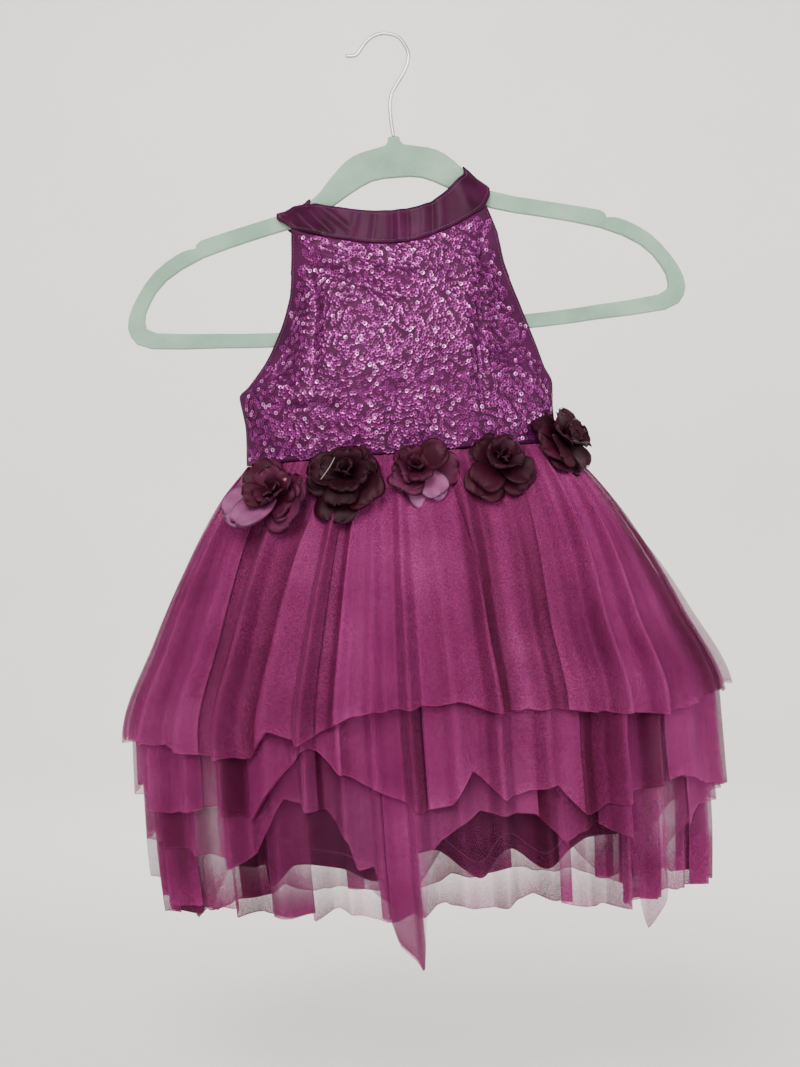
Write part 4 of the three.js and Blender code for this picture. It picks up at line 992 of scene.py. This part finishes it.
def sequinTree():
    # cupped discs strung along the line at an even pitch, each tipped its own way
    tree, ids, given, out = newTree("strung_sequins", [
        ("Pitch", "NodeSocketFloat"), ("Radius", "NodeSocketFloat"), ("Hole radius", "NodeSocketFloat"),
        ("Cup depth", "NodeSocketFloat"), ("Tilt", "NodeSocketFloat"), ("Seed", "NodeSocketInt"),
        ("Film", "NodeSocketMaterial")])
    line = addNode(tree, "GeometryNodeMeshToCurve", {"Mesh": given.outputs["Geometry"]}, "Curve")
    points = addNode(tree, "GeometryNodeResampleCurve", {"Curve": line, "Length": given.outputs["Pitch"]}, "Curve",
                     mode="LENGTH")
    disc = addNode(tree, "GeometryNodeMeshCone", {
        "Vertices": 12, "Radius Top": given.outputs["Radius"], "Radius Bottom": given.outputs["Hole radius"],
        "Depth": given.outputs["Cup depth"]}, "Mesh", fill_type="NONE")
    disc = addNode(tree, "GeometryNodeFlipFaces", {"Mesh": disc}, "Mesh")
    facing = addNode(tree, "GeometryNodeInputNamedAttribute", {"Name": "facing"}, 0, data_type="FLOAT_VECTOR")
    upright = addNode(tree, "FunctionNodeAlignRotationToVector", {"Vector": facing}, "Rotation", axis="Z")
    least = maths(tree, "MULTIPLY", given.outputs["Tilt"], -1.0)
    low = addNode(tree, "ShaderNodeCombineXYZ", {0: least, 1: least, 2: -3.1}, 0)
    high = addNode(tree, "ShaderNodeCombineXYZ", {0: given.outputs["Tilt"], 1: given.outputs["Tilt"], 2: 3.1}, 0)
    tip = addNode(tree, "FunctionNodeRandomValue", {0: low, 1: high, 8: given.outputs["Seed"]}, 0,
                  data_type="FLOAT_VECTOR")
    tipped = addNode(tree, "FunctionNodeEulerToRotation", {0: tip}, 0)
    turn = addNode(tree, "FunctionNodeRotateRotation", {"Rotation": upright, "Rotate By": tipped}, 0,
                   rotation_space="LOCAL")
    strung = addNode(tree, "GeometryNodeInstanceOnPoints", {"Points": points, "Instance": disc, "Rotation": turn},
                     "Instances")
    # a random tone per sequin; at its top end the film is coloured nearly white, a painted glint
    shade = addNode(tree, "FunctionNodeRandomValue", {2: 0.0, 3: 1.0, 8: given.outputs["Seed"]}, 1, data_type="FLOAT")
    toned = addNode(tree, "GeometryNodeStoreNamedAttribute", {"Geometry": strung, "Name": "tone", "Value": shade},
                    "Geometry", data_type="FLOAT", domain="INSTANCE")
    real = addNode(tree, "GeometryNodeRealizeInstances", {"Geometry": toned}, "Geometry")
    filmed = addNode(tree, "GeometryNodeSetMaterial", {"Geometry": real, "Material": given.outputs["Film"]},
                         "Geometry")
    tree.links.new(filmed, out.inputs["Geometry"])
    return tree, ids


strungSequins, sequinIds = sequinTree()
for key, panel in panels.items():
    piece = pathPiece(f"sequins_{key}", sewnPath(panel), sequins["above"])
    sewn(piece, strungSequins, sequinIds, {
        "Pitch": sequins["pitch"] / 1000, "Radius": sequins["radius"] / 1000, "Hole radius": sequins["hole"] / 1000,
        "Cup depth": sequins["cup"] / 1000, "Tilt": math.radians(sequins["tilt"]), "Seed": panel["seed"],
        "Film": sequinFilm})
    dress(piece, sequinFilm, "bodice_sequins")
    print("sequins", key, len(piece.data.polygons))

# ---- stitches ----
stitches = {"pitch": 2.7, "length": 1.9, "radius": 0.22, "fromEdge": 2.4, "bandRows": (2, 18), "armholeRow": 82, "hemRow": -6}


def stitchTree():
    # one short thread after another, lying along the line
    tree, ids, given, out = newTree("machine_stitches", [
        ("Pitch", "NodeSocketFloat"), ("Length", "NodeSocketFloat"), ("Radius", "NodeSocketFloat"),
        ("Thread", "NodeSocketMaterial")])
    line = addNode(tree, "GeometryNodeMeshToCurve", {"Mesh": given.outputs["Geometry"]}, "Curve")
    points = addNode(tree, "GeometryNodeResampleCurve", {"Curve": line, "Length": given.outputs["Pitch"]}, "Curve",
                     mode="LENGTH")
    bar = addNode(tree, "GeometryNodeMeshCylinder", {
        "Vertices": 6, "Radius": given.outputs["Radius"], "Depth": given.outputs["Length"]}, "Mesh", fill_type="NGON")
    tangent = addNode(tree, "GeometryNodeInputTangent", out="Tangent")
    along = addNode(tree, "FunctionNodeAlignRotationToVector", {"Vector": tangent}, "Rotation", axis="Z")
    laid = addNode(tree, "GeometryNodeInstanceOnPoints", {"Points": points, "Instance": bar, "Rotation": along},
                   "Instances")
    real = addNode(tree, "GeometryNodeRealizeInstances", {"Geometry": laid}, "Geometry")
    coloured = addNode(tree, "GeometryNodeSetMaterial", {"Geometry": real, "Material": given.outputs["Thread"]},
                       "Geometry")
    tree.links.new(coloured, out.inputs["Geometry"])
    return tree, ids


def besideEdge(grid, last, inset, rows):
    # a line inset from a panel's side edge, down its first rows
    normals = surfaceNormals(grid)
    places, facings = [], []
    for row in range(2, rows):
        line, ways = (grid[row, ::-1], normals[row, ::-1]) if last else (grid[row], normals[row])
        arc = np.concatenate([[0], np.cumsum(np.linalg.norm(np.diff(line, axis=0), axis=-1))])
        places.append([np.interp(inset, arc, line[:, k]) for k in range(3)])
        facings.append([np.interp(inset, arc, ways[:, k]) for k in range(3)])
    return np.array(places), np.array(facings)


machineStitches, stitchIds = stitchTree()
bandNormals, hemNormals = surfaceNormals(bandGrid, True), surfaceNormals(lining["grid"], True)
seams = {
    "neckband": {"slot": "band_satin", "closed": True, "above": band["wall"] / 2 + 0.1,
                 "paths": [(bandGrid[row], bandNormals[row]) for row in stitches["bandRows"]]},
    "armholes": {"slot": "bodice_sequins", "closed": False, "above": bodice["wall"] / 2 + 0.1, "paths": [
        besideEdge(panels[key]["grid"], last, stitches["fromEdge"], stitches["armholeRow"])
        for key, last in (("front", False), ("front", True), ("back_right", False), ("back_left", True))]},
    "lining_hem": {"slot": "lining_satin", "closed": True, "above": 0.1,
                   "paths": [(lining["grid"][stitches["hemRow"]], hemNormals[stitches["hemRow"]])]},
}
for key, seam in seams.items():
    piece = pathPiece(f"stitches_{key}", seam["paths"], seam["above"], seam["closed"])
    sewn(piece, machineStitches, stitchIds, {
        "Pitch": stitches["pitch"] / 1000, "Length": stitches["length"] / 1000, "Radius": stitches["radius"] / 1000,
        "Thread": thread})
    dress(piece, thread, seam["slot"])
print("seams stitched")

# ---- hanger ----
hanger = {"merge": 0.00001, "bevel": 0.0019, "segments": 3, "sharp": 40.0}


def hangerBody():
    # the CAD's own shape, with its loose triangles joined and its moulded edges rounded
    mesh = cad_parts["hanger_frame"].data.copy()
    mesh.name = "hanger_body"
    form = bmesh.new()
    form.from_mesh(mesh)
    bmesh.ops.remove_doubles(form, verts=form.verts, dist=hanger["merge"])
    bmesh.ops.dissolve_limit(form, angle_limit=0.01, verts=form.verts, edges=form.edges)
    form.to_mesh(mesh)
    form.free()
    piece = bpy.data.objects.new("hanger_body", mesh)
    bpy.context.scene.collection.objects.link(piece)
    edge = piece.modifiers.new("edge", "BEVEL")
    edge.width, edge.segments = hanger["bevel"], hanger["segments"]
    edge.limit_method, edge.angle_limit = "ANGLE", math.radians(hanger["sharp"])
    kept(piece)
    piece.data.shade_smooth()
    piece.data.set_sharp_from_angle(angle=math.radians(30))
    return dress(piece, flock, "hanger_flock", "hanger_frame")


hangerPiece = hangerBody()

# the wire's middle line in row millimetres, up from the hanger's neck and round the hook to its tip
hook = {
    "path": [(6.05, -80.85), (4.2, -69.4), (3.2, -56.5), (4.4, -47), (8.6, -39), (14.2, -29.5), (17.6, -20), (17, -11.5),
             (10, -1.6), (0, 1.5), (-8, 0.2), (-15, -4.2), (-20, -10.8), (-24.4, -16), (-31, -16.6)],
    "radius": 1.5, "steps": 180, "sides": 16,
}


def tubeMesh(name, points, radius, sides, roundTip=False):
    # points in metres; the tube's ends are closed, the last one rounded if asked
    points = np.asarray(points, float)
    radii = np.full(len(points), radius)
    if roundTip:
        run = points[-1] - points[-2]
        run /= np.linalg.norm(run)
        cap = np.radians([25, 50, 70, 84])
        points = np.concatenate([points, points[-1] + radius * np.sin(cap)[:, None] * run])
        radii = np.concatenate([radii, radius * np.cos(cap)])
    ahead = np.gradient(points, axis=0)
    ahead /= np.linalg.norm(ahead, axis=1, keepdims=True)
    side = np.array([0, 1.0, 0])
    turn = np.radians(np.arange(sides) * 360 / sides)
    rings = []
    for point, direction, r in zip(points, ahead, radii):
        side = side - direction * (side @ direction)
        side /= np.linalg.norm(side)
        other = np.cross(direction, side)
        rings.append(point + r * (np.cos(turn)[:, None] * side + np.sin(turn)[:, None] * other))
    places = np.concatenate(rings + [points[:1], points[-1:]])
    count = len(points)
    ring = np.arange(sides)
    faces = [(k * sides + i, k * sides + (i + 1) % sides, (k + 1) * sides + (i + 1) % sides, (k + 1) * sides + i)
             for k in range(count - 1) for i in ring]
    faces += [(count * sides, (i + 1) % sides, i) for i in ring]
    faces += [(count * sides + 1, (count - 1) * sides + i, (count - 1) * sides + (i + 1) % sides) for i in ring]
    mesh = bpy.data.meshes.new(name)
    mesh.from_pydata(places.tolist(), [], [tuple(int(i) for i in face) for face in faces])
    mesh.shade_smooth()
    piece = bpy.data.objects.new(name, mesh)
    bpy.context.scene.collection.objects.link(piece)
    return piece


hookLine = catmullRom([(x, 0, z) for x, z in hook["path"]], np.linspace(0, 1, hook["steps"])) / 1000
hookPiece = tubeMesh("hook_wire", hookLine, hook["radius"] / 1000, hook["sides"], True)
dress(hookPiece, chrome, "hook_steel", "hanger_hook")
print("hanger moulded")

# ---- button ----
# the nape button: half its height is its seat's distance from the neckband's outer side
button = {"share": 0.46, "across": 0.5, "stand": 0.9, "half": 1.5, "sides": 48, "holeAt": 1.15, "hole": 0.55,
          "profile": [(4.0, -1.5), (4.42, -1.2), (4.5, -0.4), (4.5, 0.9), (4.3, 1.36), (3.9, 1.5), (3.5, 1.36), (3.1, 0.85),
                      (2.6, 0.62)], "thread": 0.3}


def buttonPlaced(points):
    # button millimetres, +Z outwards from the neckband's back, to the row's metres
    seat, high, low = (bandPoints(button["share"], across, 1) for across in (button["across"], 0, 1))
    steep = math.atan2(low[1] - high[1], high[2] - low[2])
    outwards = np.array([0, math.cos(steep), math.sin(steep)])
    middle = seat + outwards * (button["stand"] + button["half"])
    points = np.asarray(points, float)
    return placed(middle + points[..., :1] * (1, 0, 0) + points[..., 1:2] * np.cross(outwards, (1, 0, 0))
                  + points[..., 2:] * outwards)


def napeButton():
    turn = np.radians(np.arange(button["sides"]) * 360 / button["sides"])
    grid = np.array([[(r * math.cos(t), r * math.sin(t), z) for t in turn] for r, z in button["profile"][::-1]])
    piece = gridMesh("nape_button", buttonPlaced(grid), True)
    form = bmesh.new()
    form.from_mesh(piece.data)
    bmesh.ops.holes_fill(form, edges=form.edges)
    bmesh.ops.recalc_face_normals(form, faces=form.faces)
    form.to_mesh(piece.data)
    form.free()
    axis = buttonPlaced([[0, 0, -3], [0, 0, 3]])
    for across, up in ((1, 0), (0, 1), (-1, 0), (0, -1)):
        offset = buttonPlaced([[across * button["holeAt"], up * button["holeAt"], 0]])[0] - buttonPlaced([[0, 0, 0]])[0]
        drill = tubeMesh("drill", axis + offset, button["hole"] / 1000, 14)
        cut = piece.modifiers.new("hole", "BOOLEAN")
        cut.operation, cut.object = "DIFFERENCE", drill
        kept(piece)
        bpy.data.objects.remove(drill)
    piece.data.shade_smooth()
    piece.data.set_sharp_from_angle(angle=math.radians(40))
    dress(piece, polyester, "button", "neckband_button")
    far, high = button["holeAt"], button["profile"][-1][1] + button["thread"] * 0.8
    for number, (x, y) in enumerate(((1, 0), (0, 1))):
        line = [(x * t * far, y * t * far, high + 0.25 * number * (1 - t * t) - 1.1 * max(0, abs(t) - 0.78)) for t in
                np.linspace(-1.15, 1.15, 17)]
        dress(tubeMesh(f"button_thread_{number + 1}", buttonPlaced(line), button["thread"] / 1000, 8), thread, "button")


napeButton()
print("button sewn on")

# ---- flowers ----
# paintedHighlight: how much paler, as painted highlight, the outer petals are that point towards paintedHighlightAt
flowers = [
    {"at": (-108.07, -34.87, -22.70), "size": 1.14, "spin": 10, "aside": -28, "up": 24, "seed": 1, "paintedHighlight": 0.6,
     "paintedHighlightAt": -34, "heart": (14, 6), "base": 0.2},
    {"at": (-46.38, -36.38, -8.20), "size": 1.08, "spin": 50, "aside": -10, "up": 22, "seed": 2, "paintedHighlight": 0.12,
     "paintedHighlightAt": 160, "heart": (6, 8), "base": 0.0},
    {"at": (18.43, -37.74, -10.70), "size": 0.94, "spin": 95, "aside": 2, "up": 20, "seed": 3, "paintedHighlight": 0.55,
     "paintedHighlightAt": 30, "heart": (-9, 5), "base": 0.16},
    {"at": (69.84, -32.74, -8.70), "size": 1.0, "spin": 20, "aside": 14, "up": 24, "seed": 4, "paintedHighlight": 0.2,
     "paintedHighlightAt": 130, "heart": (4, 7), "base": 0.06},
    {"at": (125.09, -9.48, -3.70), "size": 1.04, "spin": 70, "aside": 52, "up": 27, "seed": 5, "paintedHighlight": 0.05,
     "paintedHighlightAt": 0, "heart": (2, -1), "base": 0.05},
]
# petals from the outside in: how many, length, width, lean from the flower's axis, turn, height and root distance
petalRings = [
    {"count": 5, "reach": 28, "width": 34, "open": 84, "turn": 0, "rise": 3.6, "root": 1.2, "cup": 2.5, "curl": 3.6},
    {"count": 4, "reach": 25, "width": 30, "open": 70, "turn": 36, "rise": 5.0, "root": 1.0, "cup": 3.5, "curl": 3.8},
    {"count": 4, "reach": 20, "width": 24, "open": 50, "turn": 20, "rise": 6.0, "root": 0.8, "cup": 4.5, "curl": 3.0},
    {"count": 3, "reach": 13, "width": 15, "open": 24, "turn": 50, "rise": 6.4, "root": 0.5, "cup": 4.0, "curl": 1.8},
]
petalSteps = {"across": 19, "along": 17, "wall": 0.5}
backing = {"radius": 12.5, "rise": 2.2, "rows": 7, "columns": 37}  # the round of satin that the petals are sewn to


def petalGrid(ring, rng, longer):
    # one petal from its root at the origin, standing along +Z with its upper side towards +Y: a broad round tip
    across = np.linspace(-1, 1, petalSteps["across"])[None]
    swing = 0.42 + (math.pi - 0.5) * np.linspace(0, 1, petalSteps["along"])[:, None]
    along = (1 - np.cos(swing)) / 2
    half = ring["width"] / 2 * rng.uniform(0.92, 1.08) * np.sin(swing) ** 0.62 * (0.62 + 0.5 * along)
    reach = ring["reach"] * rng.uniform(0.9, 1.04) * longer
    notch = 1 - 0.06 * np.exp(-((across - rng.uniform(-0.35, 0.35)) / 0.2) ** 2) * along ** 8
    outer = np.clip(np.maximum(np.abs(across) ** 3, ((along - 0.25) / 0.75).clip(0) ** 5), 0, 1)
    wave = (np.sin(across * rng.uniform(2.6, 4.0) * np.sin(swing) + rng.uniform(0, 6)) * 2.1
            + np.sin(across * rng.uniform(6, 8.5) + along * 5 + rng.uniform(0, 6)) * 1.2)
    skew = rng.uniform(-0.8, 0.8) * across * along * 2
    bend = (ring["cup"] * across ** 2 * along ** 0.8 - ring["curl"] * along ** 2.4 * (1 + 0.4 * rng.uniform(-1, 1))
            - 2.2 * ring["curl"] * np.clip(along - 0.8, 0, None) - 0.8 * np.abs(across) ** 8 * ring["cup"] * along
            + wave * outer * ring["reach"] / 27 + skew
            + 0.6 * np.sin(along * 8 + rng.uniform(0, 6)) * (1 - across ** 2) * along)
    x = across * half
    return np.stack([x, bend + 0 * x, along * reach * notch + 0 * x], -1), outer + 0 * x


def turned(points, axis, degrees):
    c, s = math.cos(math.radians(degrees)), math.sin(math.radians(degrees))
    x, y, z = points[..., 0], points[..., 1], points[..., 2]
    if axis == "X":
        return np.stack([x, y * c - z * s, y * s + z * c], -1)
    return np.stack([x * c - y * s, x * s + y * c, z], -1)


def flowerPiece(number, flower):
    rng = np.random.default_rng(100 + flower["seed"])
    places, faces, tones, edges = [], [], [], []
    start = 0
    heart, outline = np.array(flower["heart"]) / flower["size"], petalRings[0]["reach"]
    for level, ring in enumerate(petalRings):
        for k in range(ring["count"]):
            turn = ring["turn"] + 360 / ring["count"] * k + rng.uniform(-22, 22)
            # petals reach the same round outline from a heart that sits off its middle
            pointing = math.radians(turn + flower["spin"])
            inward = -(heart[0] * math.sin(pointing) - heart[1] * math.cos(pointing))
            longer = (inward + math.sqrt(outline ** 2 - heart @ heart + inward ** 2)) / outline
            grid, outer = petalGrid(ring, rng, longer ** (1 if level < 2 else 0.4))
            lean = ring["open"] + rng.uniform(-20, 10)
            grid = turned(grid, "X", lean) + (0, -ring["root"], ring["rise"] + 0.35 * (k % 2))
            grid = turned(turned(grid, "Z", turn), "Z", flower["spin"]) + (heart[0], -heart[1], 0)
            # painted highlight: the lower outer petals of some flowers are paler on their face
            tone = flower["base"] + 0.07 * rng.uniform(-1, 1) + 0.04 * (level == 0)
            tone += flower["paintedHighlight"] * max(0, math.cos(pointing - math.radians(flower["paintedHighlightAt"]))) ** 2 * (level < 2)
            rows, columns = grid.shape[:2]
            index = start + np.arange(rows * columns).reshape(rows, columns)
            places.append(grid.reshape(-1, 3))
            faces.append(np.stack([index[:-1, :-1], index[:-1, 1:], index[1:, 1:], index[1:, :-1]], -1).reshape(-1, 4))
            shade = tone + 0.16 * np.linspace(0, 1, rows)[:, None] ** 2 * np.ones((1, columns))
            tones.append(shade.ravel())
            edges.append(np.clip((outer - 0.72) / 0.28, 0, 1).ravel())
            start += rows * columns
    radius = np.linspace(0.3, backing["radius"], backing["rows"])[:, None]
    turn = np.radians(np.linspace(360, 0, backing["columns"]))[None]
    index = start + np.arange(backing["rows"] * backing["columns"]).reshape(backing["rows"], -1)
    places.append(np.stack([radius * np.sin(turn) + heart[0] / 2, radius * np.cos(turn) - heart[1] / 2,
                            backing["rise"] + 0.5 * np.sin(5 * turn) * radius / backing["radius"]], -1).reshape(-1, 3))
    faces.append(np.stack([index[:-1, :-1], index[:-1, 1:], index[1:, 1:], index[1:, :-1]], -1).reshape(-1, 4))
    tones.append(np.full(index.size, 0.02))
    edges.append(np.zeros(index.size))
    local = np.concatenate(places) * flower["size"]
    local = turned(turned(local, "X", 90 - flower["up"]), "Z", flower["aside"]) + flower["at"]
    mesh = bpy.data.meshes.new(f"rose_{number}")
    mesh.from_pydata(placed(local).tolist(), [], np.concatenate(faces).tolist())
    for key, values in (("tone", tones), ("edge", edges)):
        mesh.attributes.new(key, "FLOAT", "POINT").data.foreach_set("value", np.concatenate(values).astype(np.float32))
    mesh.shade_smooth()
    piece = bpy.data.objects.new(mesh.name, mesh)
    bpy.context.scene.collection.objects.link(piece)
    thickened(piece, petalSteps["wall"])
    return dress(piece, petalSatin, "flower_satin", f"flower_{number}")


flowerPieces = [flowerPiece(number + 1, flower) for number, flower in enumerate(flowers)]

# the bead that shows in the first flower's heart, and the pale thread that hangs on the second
trims = {"bead": {"at": (-76.6, -357.2), "radius": 1.5},
         "strand": {"from": (-49.6, -357.0), "to": (-39.2, -340.0), "radius": 0.32}}


def onFlower(number, x, z):
    # the place on a flower's face behind a point of the front view, in metres
    mesh = flowerPieces[number].data
    tree = BVHTree.FromPolygons([tuple(v.co) for v in mesh.vertices], [tuple(p.vertices) for p in mesh.polygons])
    place, facing, _, _ = tree.ray_cast(Vector((x / 1000, -0.5, z / 1000)), Vector((0, 1, 0)))
    return place


def flowerTrims():
    bead = onFlower(0, *trims["bead"]["at"])
    form = bmesh.new()
    bmesh.ops.create_uvsphere(form, u_segments=16, v_segments=10, radius=trims["bead"]["radius"] / 1000)
    bmesh.ops.translate(form, verts=form.verts, vec=bead)
    mesh = bpy.data.meshes.new("rose_bead")
    form.to_mesh(mesh)
    form.free()
    mesh.shade_smooth()
    piece = bpy.data.objects.new("rose_bead", mesh)
    bpy.context.scene.collection.objects.link(piece)
    dress(piece, beadGlass, "flower_satin")
    strand = trims["strand"]
    line = []
    for t in np.linspace(0, 1, 24):
        x, z = ((1 - t) * a + t * b for a, b in zip(strand["from"], strand["to"]))
        line.append(onFlower(1, x + 0.8 * math.sin(3 * t), z))
    line = np.array([tuple(place) for place in line])
    line[:, 1] = np.convolve(np.pad(line[:, 1], 4, "edge"), np.ones(9) / 9, "valid") - 0.0012
    dress(tubeMesh("rose_strand", line, strand["radius"] / 1000, 8, True), paleThread, "flower_satin")


flowerTrims()
print("flowers sewn on")

# ---- stage, lights and camera ----
studio = {"floor": -0.86, "radius": 2.7, "cove": 0.8, "top": 2.2}


def studioMaterial():
    # painted studio cove: matt pale warm grey, with the faintest roller texture
    material, tree, shader = newMaterial("matt_cove_paint", Roughness=0.9)
    place = addNode(tree, "ShaderNodeTexCoord", out="Object")
    patch = addNode(tree, "ShaderNodeTexNoise", {"Vector": place, "Scale": 1.4, "Detail": 3.0}, 0)
    tree.links.new(ramp(tree, patch, ((0.3, "eceae7"), (0.7, "f2f0ed"))), shader.inputs["Base Color"])
    return material


def studioBowl():
    # a round seamless bowl, so that every view has the same pale ground
    r, cove, low, high = studio["radius"], studio["cove"], studio["floor"], studio["top"]
    profile = [(0.02, low), (r * 0.4, low), (r - cove, low)]
    profile += [(r - cove + cove * math.sin(t), low + cove * (1 - math.cos(t))) for t in np.linspace(0.1, math.pi / 2, 16)]
    profile += [(r, high)]
    turn = np.radians(np.arange(96) * 360 / 96)
    grid = np.array([[(x * math.cos(t), x * math.sin(t), z) for t in turn] for x, z in profile])
    mesh = bpy.data.meshes.new("studio_bowl")
    index = np.arange(grid.shape[0] * 96).reshape(grid.shape[0], 96)
    right = np.roll(index, -1, 1)
    faces = np.stack([index[:-1], index[1:], right[1:], right[:-1]], -1).reshape(-1, 4).tolist()
    faces.append(index[0].tolist())
    mesh.from_pydata(grid.reshape(-1, 3).tolist(), [], faces)
    mesh.shade_smooth()
    mesh.materials.append(studioMaterial())
    piece = bpy.data.objects.new("studio_bowl", mesh)
    bpy.context.scene.collection.objects.link(piece)


studioBowl()

lights = {
    "key": {"at": (-0.4, -1.75, 0.8), "size": 1.1, "power": 48, "colour": (1.0, 0.97, 0.94)},
    "fill": {"at": (1.4, -1.2, 0.05), "size": 1.0, "power": 13, "colour": (0.95, 0.97, 1.0)},
    "rim": {"at": (0.3, 1.3, 0.95), "size": 0.9, "power": 12, "colour": (1.0, 1.0, 1.0)},
    "backdrop": {"at": (0.0, 0.9, 0.9), "size": 1.2, "power": 40, "colour": (1.0, 0.99, 0.98), "to": (0.0, 2.7, -0.3)},
}
for key, light in lights.items():
    lamp = bpy.data.lights.new(key, "AREA")
    lamp.energy, lamp.size, lamp.color = light["power"], light["size"], light["colour"]
    holder = bpy.data.objects.new(key, lamp)
    holder.location = light["at"]
    holder.rotation_euler = (Vector(light.get("to", (0, 0, -0.45))) - holder.location).to_track_quat("-Z", "Y").to_euler()
    bpy.context.scene.collection.objects.link(holder)

world = bpy.data.worlds.new("studio_air")
world.use_nodes = True
world.node_tree.nodes["Background"].inputs["Color"].default_value = (0.93, 0.95, 1.0, 1)
world.node_tree.nodes["Background"].inputs["Strength"].default_value = 0.45
bpy.context.scene.world = world

view = {"at": (0.0112, -1.3, -0.3984), "lens": 54.83, "sensor": 36.0}
camera = bpy.data.cameras.new("camera")
camera.lens, camera.sensor_width = view["lens"], view["sensor"]
cameraHolder = bpy.data.objects.new("camera", camera)
cameraHolder.location, cameraHolder.rotation_euler = view["at"], (math.pi / 2, 0, 0)
bpy.context.scene.collection.objects.link(cameraHolder)
bpy.context.scene.camera = cameraHolder
print("studio lit")
